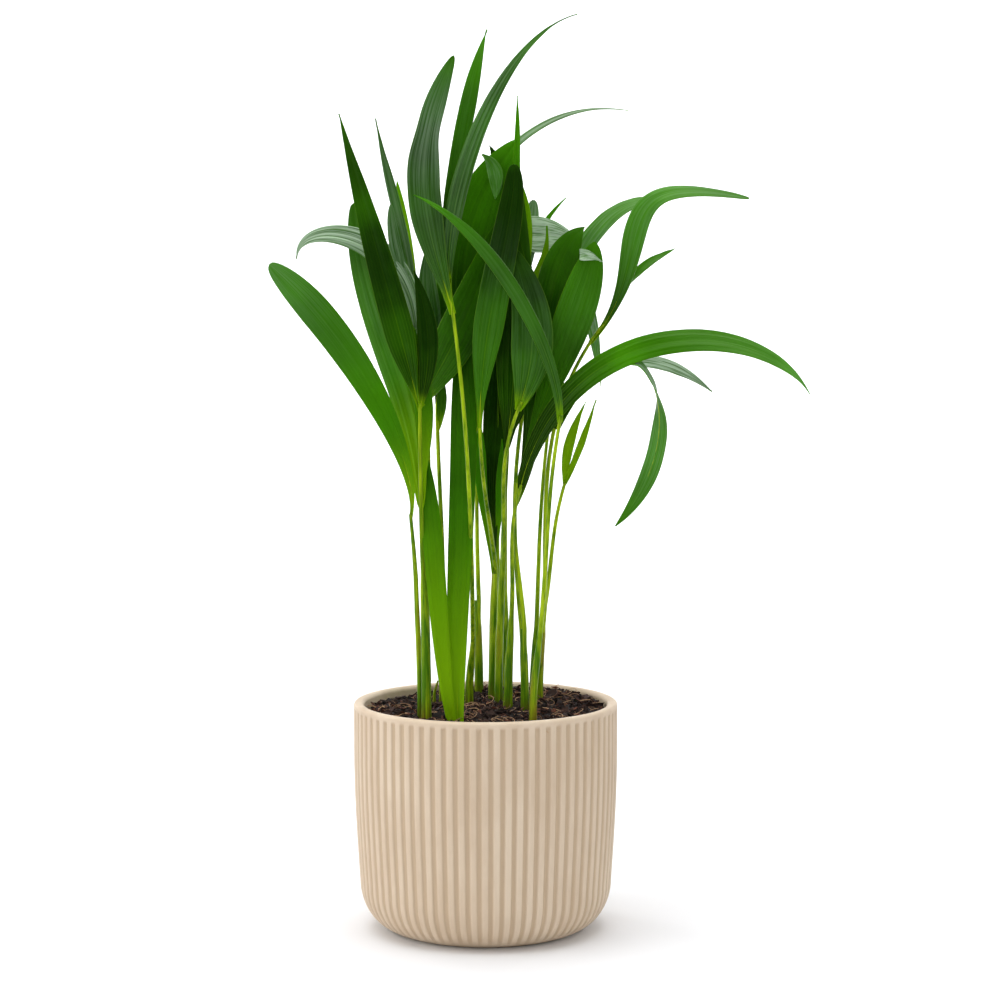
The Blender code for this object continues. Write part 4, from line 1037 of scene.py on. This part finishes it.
def makeLeafTree():
    tree, given, out = newTree("palm leaf blade", [
        ("Rows", "Int", 72), ("Columns", "Int", 25), ("Cup", "Float", 0.1), ("Pleats", "Float", 5.0),
        ("Rib height", "Float", 0.0003), ("Ripple", "Float", 0.0009), ("Veins", "Float", 20.0),
        ("Fresh", "Float", 0.3), ("Seed", "Float", 0.0),
        ("Material", "Material", None)])
    grid = addNode(tree, "GeometryNodeMeshGrid", {"Vertices X": given.outputs["Rows"],
                                                 "Vertices Y": given.outputs["Columns"]})
    index = addNode(tree, "GeometryNodeInputIndex")
    ratio = addNode(tree, "ShaderNodeMath", {0: index.outputs[0], 1: given.outputs["Columns"]},
                    operation="DIVIDE")
    row = addNode(tree, "ShaderNodeMath", {0: ratio.outputs[0]}, operation="FLOOR")
    part = addNode(tree, "ShaderNodeMath", {0: ratio.outputs[0]}, operation="FRACT")
    column = addNode(tree, "ShaderNodeMath", {0: part.outputs[0], 1: given.outputs["Columns"]},
                     operation="MULTIPLY")
    lastColumn = addNode(tree, "ShaderNodeMath", {0: given.outputs["Columns"], 1: -1.0}, operation="ADD")
    share = addNode(tree, "ShaderNodeMath", {0: column.outputs[0], 1: lastColumn.outputs[0]},
                    operation="DIVIDE")
    side = addNode(tree, "ShaderNodeMath", {0: share.outputs[0], 1: -2.0, 2: 1.0},
                   operation="MULTIPLY_ADD")   # 1 at one edge, -1 at the other, so that faces look up
    sideSize = addNode(tree, "ShaderNodeMath", {0: side.outputs[0]}, operation="ABSOLUTE")
    sampled = {}
    for name, kind in (("halfWidth", "FLOAT"), ("along", "FLOAT"), ("fold", "FLOAT"), ("pleat", "FLOAT"),
                       ("tint", "FLOAT"), ("silver", "FLOAT"), ("across", "FLOAT_VECTOR"),
                       ("up", "FLOAT_VECTOR")):
        field = addNode(tree, "GeometryNodeInputNamedAttribute", {"Name": name}, data_type=kind)
        sampled[name] = addNode(tree, "GeometryNodeSampleIndex",
                                {"Geometry": given.outputs["Geometry"], "Value": field.outputs[0],
                                 "Index": row.outputs[0]}, data_type=kind, domain="POINT").outputs[0]
    position = addNode(tree, "GeometryNodeInputPosition")
    spot = addNode(tree, "GeometryNodeSampleIndex",
                   {"Geometry": given.outputs["Geometry"], "Value": position.outputs[0],
                    "Index": row.outputs[0]}, data_type="FLOAT_VECTOR", domain="POINT")
    reach = addNode(tree, "ShaderNodeMath", {0: sampled["halfWidth"], 1: side.outputs[0]},
                    operation="MULTIPLY")
    reachSize = addNode(tree, "ShaderNodeMath", {0: reach.outputs[0]}, operation="ABSOLUTE")
    foldCosine = addNode(tree, "ShaderNodeMath", {0: sampled["fold"]}, operation="COSINE")
    foldSine = addNode(tree, "ShaderNodeMath", {0: sampled["fold"]}, operation="SINE")
    flat = addNode(tree, "ShaderNodeMath", {0: reach.outputs[0], 1: foldCosine.outputs[0]},
                   operation="MULTIPLY")
    rise = addNode(tree, "ShaderNodeMath", {0: reachSize.outputs[0], 1: foldSine.outputs[0]},
                   operation="MULTIPLY")
    # each half is a little cupped, so its outer part turns down again
    cupped = addNode(tree, "ShaderNodeMath", {0: sideSize.outputs[0], 1: reachSize.outputs[0]},
                     operation="MULTIPLY")
    cupDepth = addNode(tree, "ShaderNodeMath", {0: given.outputs["Cup"], 1: -1.0}, operation="MULTIPLY")
    rounded = addNode(tree, "ShaderNodeMath", {0: cupped.outputs[0], 1: cupDepth.outputs[0],
                                              2: rise.outputs[0]}, operation="MULTIPLY_ADD")
    # pleats: deep at the root, nearly gone at the tip
    pleatTurn = addNode(tree, "ShaderNodeMath", {0: side.outputs[0], 1: given.outputs["Pleats"]},
                        operation="MULTIPLY")
    pleatAngle = addNode(tree, "ShaderNodeMath", {0: pleatTurn.outputs[0], 1: math.pi},
                         operation="MULTIPLY")
    pleatWave = addNode(tree, "ShaderNodeMath", {0: pleatAngle.outputs[0]}, operation="COSINE")
    pleat = addNode(tree, "ShaderNodeMath", {0: pleatWave.outputs[0], 1: sampled["pleat"],
                                            2: rounded.outputs[0]}, operation="MULTIPLY_ADD")
    # the rib stands out below, so the upper side dips to it
    ribRatio = addNode(tree, "ShaderNodeMath", {0: reach.outputs[0], 1: 0.0008}, operation="DIVIDE")
    ribSquare = addNode(tree, "ShaderNodeMath", {0: ribRatio.outputs[0], 1: ribRatio.outputs[0]},
                        operation="MULTIPLY")
    ribMinus = addNode(tree, "ShaderNodeMath", {0: ribSquare.outputs[0], 1: -1.0}, operation="MULTIPLY")
    ribBell = addNode(tree, "ShaderNodeMath", {0: ribMinus.outputs[0]}, operation="EXPONENT")
    ribFade = addNode(tree, "ShaderNodeMapRange", {"Value": sampled["along"], "To Min": -1.0,
                                                  "To Max": 0.0})
    ribDepth = addNode(tree, "ShaderNodeMath", {0: ribFade.outputs[0], 1: given.outputs["Rib height"]},
                       operation="MULTIPLY")
    ribbed = addNode(tree, "ShaderNodeMath", {0: ribBell.outputs[0], 1: ribDepth.outputs[0],
                                             2: pleat.outputs[0]}, operation="MULTIPLY_ADD")
    # the margins wave a little
    wavePlace = addNode(tree, "ShaderNodeCombineXYZ", {0: side.outputs[0], 1: sampled["along"],
                                                      2: given.outputs["Seed"]})
    waveStretch = addNode(tree, "ShaderNodeVectorMath", {0: wavePlace.outputs[0], 1: (0.7, 5.0, 1.0)},
                          operation="MULTIPLY")
    wave = addNode(tree, "ShaderNodeTexNoise", {"Vector": waveStretch.outputs[0], "Scale": 1.0,
                                               "Detail": 1.0})
    waveMiddle = addNode(tree, "ShaderNodeMath", {0: wave.outputs[0], 1: -0.5}, operation="ADD")
    waveEdge = addNode(tree, "ShaderNodeMath", {0: waveMiddle.outputs[0], 1: sideSize.outputs[0]},
                       operation="MULTIPLY")
    lift = addNode(tree, "ShaderNodeMath", {0: waveEdge.outputs[0], 1: given.outputs["Ripple"],
                                           2: ribbed.outputs[0]}, operation="MULTIPLY_ADD")
    aside = addNode(tree, "ShaderNodeVectorMath", {0: sampled["across"], "Scale": flat.outputs[0]},
                    operation="SCALE")
    above = addNode(tree, "ShaderNodeVectorMath", {0: sampled["up"], "Scale": lift.outputs[0]},
                    operation="SCALE")
    offset = addNode(tree, "ShaderNodeVectorMath", {0: aside.outputs[0], 1: above.outputs[0]},
                     operation="ADD")
    place = addNode(tree, "ShaderNodeVectorMath", {0: spot.outputs[0], 1: offset.outputs[0]},
                    operation="ADD")
    veinPhase = addNode(tree, "ShaderNodeMath", {0: side.outputs[0], 1: given.outputs["Veins"]},
                        operation="MULTIPLY")
    stored = grid.outputs["Mesh"]
    for name, value in (("veinPhase", veinPhase.outputs[0]), ("alongShare", sampled["along"]),
                        ("sideShare", side.outputs[0]), ("leafTint", sampled["tint"]),
                        ("leafSilver", sampled["silver"]), ("leafFresh", given.outputs["Fresh"])):
        stored = addNode(tree, "GeometryNodeStoreNamedAttribute",
                         {"Geometry": stored, "Name": name, "Value": value},
                         data_type="FLOAT", domain="POINT").outputs[0]
    mapped = addNode(tree, "GeometryNodeStoreNamedAttribute",
                     {"Geometry": stored, "Name": "UVMap", "Value": grid.outputs["UV Map"]},
                     data_type="FLOAT2", domain="CORNER")
    shaped = addNode(tree, "GeometryNodeSetPosition", {"Geometry": mapped.outputs[0],
                                                      "Position": place.outputs[0]})
    smooth = addNode(tree, "GeometryNodeSetShadeSmooth", {"Geometry": shaped.outputs[0]})
    real = addNode(tree, "GeometryNodeRealizeInstances", {"Geometry": smooth.outputs[0]})
    addSkin = addNode(tree, "GeometryNodeSetMaterial", {"Geometry": real.outputs[0],
                                                       "Material": given.outputs["Material"]})
    tree.links.new(addSkin.outputs[0], out.inputs[0])
    return tree


leafTree = makeLeafTree()


def alongLeaf(value, share):
    # A setting is one number, or several that are spread evenly from the leaf's root to its tip.
    if not isinstance(value, tuple):
        return float(value)
    place = share * (len(value) - 1)
    step = min(int(place), len(value) - 2)
    return value[step] + (value[step + 1] - value[step]) * (place - step)


def bladeGuide(name, leaf, stalk):
    # The leaf's rib as points that carry its width and the directions across and up.
    bend = leafBend(leaf, stalk)
    spots, halves, acrosses, ups, alongs, folds, pleats, tonesWithShade, paintedSheens = ([] for k in range(9))
    for k in range(bladeSize["rows"]):
        share = 1.0 - (1.0 - k / (bladeSize["rows"] - 1)) ** 1.3
        across = bend.along(share).cross(faceWay(leaf, share)).normalized()
        spots.append(bend.at(share) * mm)
        acrosses.append(across)
        ups.append(across.cross(bend.along(share)))
        halves.append(max(0.12, 0.5 * leaf["width"] * leafShare(leaf, share)) * mm)
        alongs.append(share)
        tonesWithShade.append(alongLeaf(leaf.get("tint", 0.4), share))
        paintedSheens.append(alongLeaf(leaf.get("silver", 0.0), share))
        root = max(0.0, 1.0 - share / 0.35) ** 2
        folds.append(math.radians(leaf.get("fold", bladeSize["fold"])
                                  + (bladeSize["foldAtRoot"] - bladeSize["fold"]) * root))
        pleats.append(bladeSize["pleatDepth"] * leaf.get("pleat", 1.0) * (1.0 - 0.9 * share) * mm
                      * min(1.0, leafShare(leaf, share) * 1.5))
    return pointMesh(name, spots, halfWidth=halves, across=acrosses, up=ups, along=alongs, fold=folds,
                     pleat=pleats, tint=tonesWithShade, silver=paintedSheens)


def makeBlade(name, leaf, stalk, seed):
    blade = newItem(name, bladeGuide(name, leaf, stalk), leafUpper, leafUnder)
    columns = 2 * round(leaf["width"] / bladeSize["columnStep"] / 2) + 1
    useTree(blade, leafTree, {
        "Rows": bladeSize["rows"], "Columns": max(9, columns), "Cup": float(leaf.get("cup", bladeSize["cup"])),
        "Pleats": max(2.0, leaf["width"] / bladeSize["pleatStep"]), "Rib height": bladeSize["ribHeight"] * mm,
        "Ripple": bladeSize["ripple"] * mm, "Veins": 0.5 * leaf["width"] / bladeSize["veinStep"],
        "Fresh": float(leaf.get("youngAndGlow", 0.05)), "Seed": float(seed), "Material": leafUpper})
    shell = blade.modifiers.new("shell", "SOLIDIFY")
    shell.thickness = bladeSize["thickness"] * mm
    shell.offset = -1.0
    shell.material_offset = 1
    shell.use_even_offset = False
    settle(blade)
    if len(blade.data.materials) < 2:
        blade.data.materials.append(leafUnder)
    return blade


# stems, stalks and ribs

def makeLimbTree():
    tree, given, out = newTree("tapering limb", [
        ("Sides", "Int", 16), ("Relief", "Float", 0.0001), ("Grain", "Float", 900.0),
        ("Material", "Material", None)])
    curve = addNode(tree, "GeometryNodeMeshToCurve", {0: given.outputs["Geometry"]})
    circle = addNode(tree, "GeometryNodeCurvePrimitiveCircle", {"Resolution": given.outputs["Sides"],
                                                               "Radius": 1.0})
    thick = addNode(tree, "GeometryNodeInputNamedAttribute", {"Name": "thick"}, data_type="FLOAT")
    tube = addNode(tree, "GeometryNodeCurveToMesh",
                   {"Curve": curve.outputs[0], "Profile Curve": circle.outputs[0],
                    "Scale": thick.outputs[0], "Fill Caps": True})
    position = addNode(tree, "GeometryNodeInputPosition")
    drawn = addNode(tree, "ShaderNodeVectorMath", {0: position.outputs[0], 1: (1.0, 1.0, 0.05)},
                    operation="MULTIPLY")
    grain = addNode(tree, "ShaderNodeTexNoise", {"Vector": drawn.outputs[0],
                                                "Scale": given.outputs["Grain"], "Detail": 2.0})
    middle = addNode(tree, "ShaderNodeMath", {0: grain.outputs[0], 1: -0.5}, operation="ADD")
    amount = addNode(tree, "ShaderNodeMath", {0: middle.outputs[0], 1: given.outputs["Relief"]},
                     operation="MULTIPLY")
    normal = addNode(tree, "GeometryNodeInputNormal")
    push = addNode(tree, "ShaderNodeVectorMath", {0: normal.outputs[0], "Scale": amount.outputs[0]},
                   operation="SCALE")
    shaped = addNode(tree, "GeometryNodeSetPosition", {"Geometry": tube.outputs[0],
                                                      "Offset": push.outputs[0]})
    smooth = addNode(tree, "GeometryNodeSetShadeSmooth", {"Geometry": shaped.outputs[0]})
    real = addNode(tree, "GeometryNodeRealizeInstances", {"Geometry": smooth.outputs[0]})
    addSkin = addNode(tree, "GeometryNodeSetMaterial", {"Geometry": real.outputs[0],
                                                       "Material": given.outputs["Material"]})
    tree.links.new(addSkin.outputs[0], out.inputs[0])
    return tree


limbTree = makeLimbTree()


def makeLimbs(name, runs, sides, relief, material):
    # One piece of many tubes: each run is a list of (spot, radius), in millimetres.
    spots, thick, edges = [], [], []
    for run in runs:
        first = len(spots)
        spots += [spot * mm for spot, radius in run]
        thick += [radius * mm for spot, radius in run]
        edges += [(first + k, first + k + 1) for k in range(len(run) - 1)]
    limbs = newItem(name, pointMesh(name, spots, edges, thick=thick))
    useTree(limbs, limbTree, {"Sides": sides, "Relief": relief * mm, "Material": material})
    return settle(limbs, outward=True)


stemShape = {"steps": 30, "sides": 24, "relief": 0.35, "mouth": 14.0, "rootSink": 3.0, "stalkSink": 26.0}


def stemRun(stem):
    # From just under the soil up to the mouth, where it closes round its stalks.
    bend = stemBend(stem)
    wide, narrow = stem["radius"]
    foot = Vector((*stem["foot"], limbSize["soil"] - stemShape["rootSink"]))
    run = [(foot, wide * 1.08)]
    length = bend.length()
    for k in range(stemShape["steps"] + 1):
        share = k / stemShape["steps"]
        radius = wide + (narrow - wide) * share
        left = (1.0 - share) * length
        if left < stemShape["mouth"]:
            radius *= 0.72 + 0.28 * left / stemShape["mouth"]
        run.append((bend.at(share), radius))
    return run


def stalkRun(frond):
    # The stalk starts inside its stem and thins to where its leaves are.
    stalk = stalkBend(frond)
    stem = stems[frond["stem"]]
    bend = stemBend(stem)
    start = stalk.at(0.0)
    shift = start - Vector(stem["top"])
    shift.z = 0.0
    wide, narrow = limbSize["stalkRadius"]
    run = []
    below = min(stemShape["stalkSink"], 0.8 * (stem["top"][2] - limbSize["soil"]))
    length = bend.length()
    for k in range(6):
        share = 1.0 - below / length * (1.0 - k / 6)
        run.append((bend.at(share) + shift * (k / 6), wide))
    for k in range(25):
        share = k / 24
        run.append((stalk.at(share), wide + (narrow - wide) * share))
    return run


def ribRun(leaf, stalk):
    # The midrib runs along the leaf's underside and thins out.
    bend = leafBend(leaf, stalk)
    run = []
    for k in range(36):
        share = 0.85 * k / 35
        across = bend.along(share).cross(faceWay(leaf, share)).normalized()
        up = across.cross(bend.along(share))
        radius = 0.12 + 0.55 * min(1.0, leaf["width"] / 14) * (1.0 - k / 35) ** 1.3
        run.append((bend.at(share) - up * (0.35 + 0.6 * radius), radius))
    return run


def makePalm():
    makeLimbsAll = makeLimbs("stems", [stemRun(stem) for stem in stems.values()], stemShape["sides"],
                             stemShape["relief"], stemSkin)
    keep(makeLimbsAll, "stem", *stems)
    stalks, ribs = [], []
    seed = 0
    for name, frond in allFronds.items():
        stalk = stalkBend(frond)
        stalks.append(stalkRun(frond))
        blades = []
        for leaf in frond["leaves"]:
            seed += 1
            ribs.append(ribRun(leaf, stalk))
            blades.append(makeBlade(f"{name}_{seed}", leaf, stalk, seed))
        piece = joinItems(blades, "leaves_" + name[6:]) if len(blades) > 1 else blades[0]
        piece.name = "leaves_" + name[6:]
        keep(piece, "leaf", name)
        print("  ", piece.name, len(piece.data.polygons), "faces")
    keep(makeLimbs("leaf_stalks", stalks, 14, 0.12, stalkSkin), "stem")
    keep(makeLimbs("leaf_ribs", ribs, 8, 0.0, stalkSkin), "stem")


makePalm()
print("palm made")


# stage, light and camera

stageLook = {"floor": "#ebecee", "side": 6.0, "back": 2.2, "rise": 3.2}


def makeStage():
    # A plain pale paper sweep: the floor runs back and curves up.
    form = bmesh.new()
    radius = 1.2
    path = [(-stageLook["side"] / 2, 0.0), (stageLook["back"], 0.0)]
    for k in range(1, 25):
        angle = k / 24 * math.pi / 2
        path.append((stageLook["back"] + radius * math.sin(angle), radius - radius * math.cos(angle)))
    path.append((stageLook["back"] + radius, stageLook["rise"]))
    rows = [[form.verts.new((x, y, z - 0.0003)) for x in (-stageLook["side"], stageLook["side"])]
            for y, z in path]
    for low, high in zip(rows, rows[1:]):
        form.faces.new((low[0], low[1], high[1], high[0]))
    mesh = bpy.data.meshes.new("paper_sweep")
    form.to_mesh(mesh)
    form.free()
    mesh.shade_smooth()
    material, tree, shader, out = newMaterial("matt white paper")
    shader.inputs["Base Color"].default_value = hexToLinear(stageLook["floor"])
    shader.inputs["Roughness"].default_value = 0.9
    shader.inputs["Specular IOR Level"].default_value = 0.1
    sweep = newItem("paper_sweep", mesh, material)


lights = {
    "left": {"place": (-1.4, -0.4, 0.75), "aim": (0, 0, 0.15), "size": 1.5, "watts": 10.5},
    "right": {"place": (1.35, -0.6, 0.9), "aim": (0, 0, 0.2), "size": 1.7, "watts": 5.5},
    "top": {"place": (-0.1, 0.0, 1.8), "aim": (0, 0, 0.1), "size": 1.8, "watts": 27.0},
    "front": {"place": (-0.4, -2.3, 0.9), "aim": (0, 0, 0.15), "size": 1.6, "watts": 7.0},
    "wall left": {"place": (-1.7, 1.7, 1.3), "aim": (-0.3, 3.3, 0.5), "size": 1.0, "watts": 60.0},
    "wall right": {"place": (1.7, 1.7, 1.3), "aim": (0.3, 3.3, 0.5), "size": 1.0, "watts": 60.0}}


def makeLights():
    for name, light in lights.items():
        lamp = bpy.data.lights.new(name, "AREA")
        lamp.shape = "DISK"
        lamp.size = light["size"]
        lamp.energy = light["watts"]
        item = bpy.data.objects.new(name, lamp)
        bpy.context.scene.collection.objects.link(item)
        item.location = light["place"]
        item.rotation_euler = (Vector(light["aim"]) - Vector(light["place"])).to_track_quat(
            "-Z", "Y").to_euler()
    world = bpy.data.worlds.new("soft white room")
    world.use_nodes = True
    world.node_tree.nodes["Background"].inputs["Color"].default_value = (1.0, 1.0, 1.0, 1.0)
    world.node_tree.nodes["Background"].inputs["Strength"].default_value = 0.36
    bpy.context.scene.world = world
    bpy.context.scene.view_settings.view_transform = "Standard"


view = {"place": (0.0077, -1.415, 0.353), "pitch": 4.94, "lens": 95.7}


def makeCamera():
    lens = bpy.data.cameras.new("photo view")
    lens.lens = view["lens"]
    lens.sensor_width = 36.0
    camera = bpy.data.objects.new("photo view", lens)
    camera.location = view["place"]
    camera.rotation_euler = (math.radians(90 - view["pitch"]), 0, 0)
    bpy.context.scene.collection.objects.link(camera)
    bpy.context.scene.camera = camera


makeStage()
makeLights()
makeCamera()
print("stage, lights and camera made")
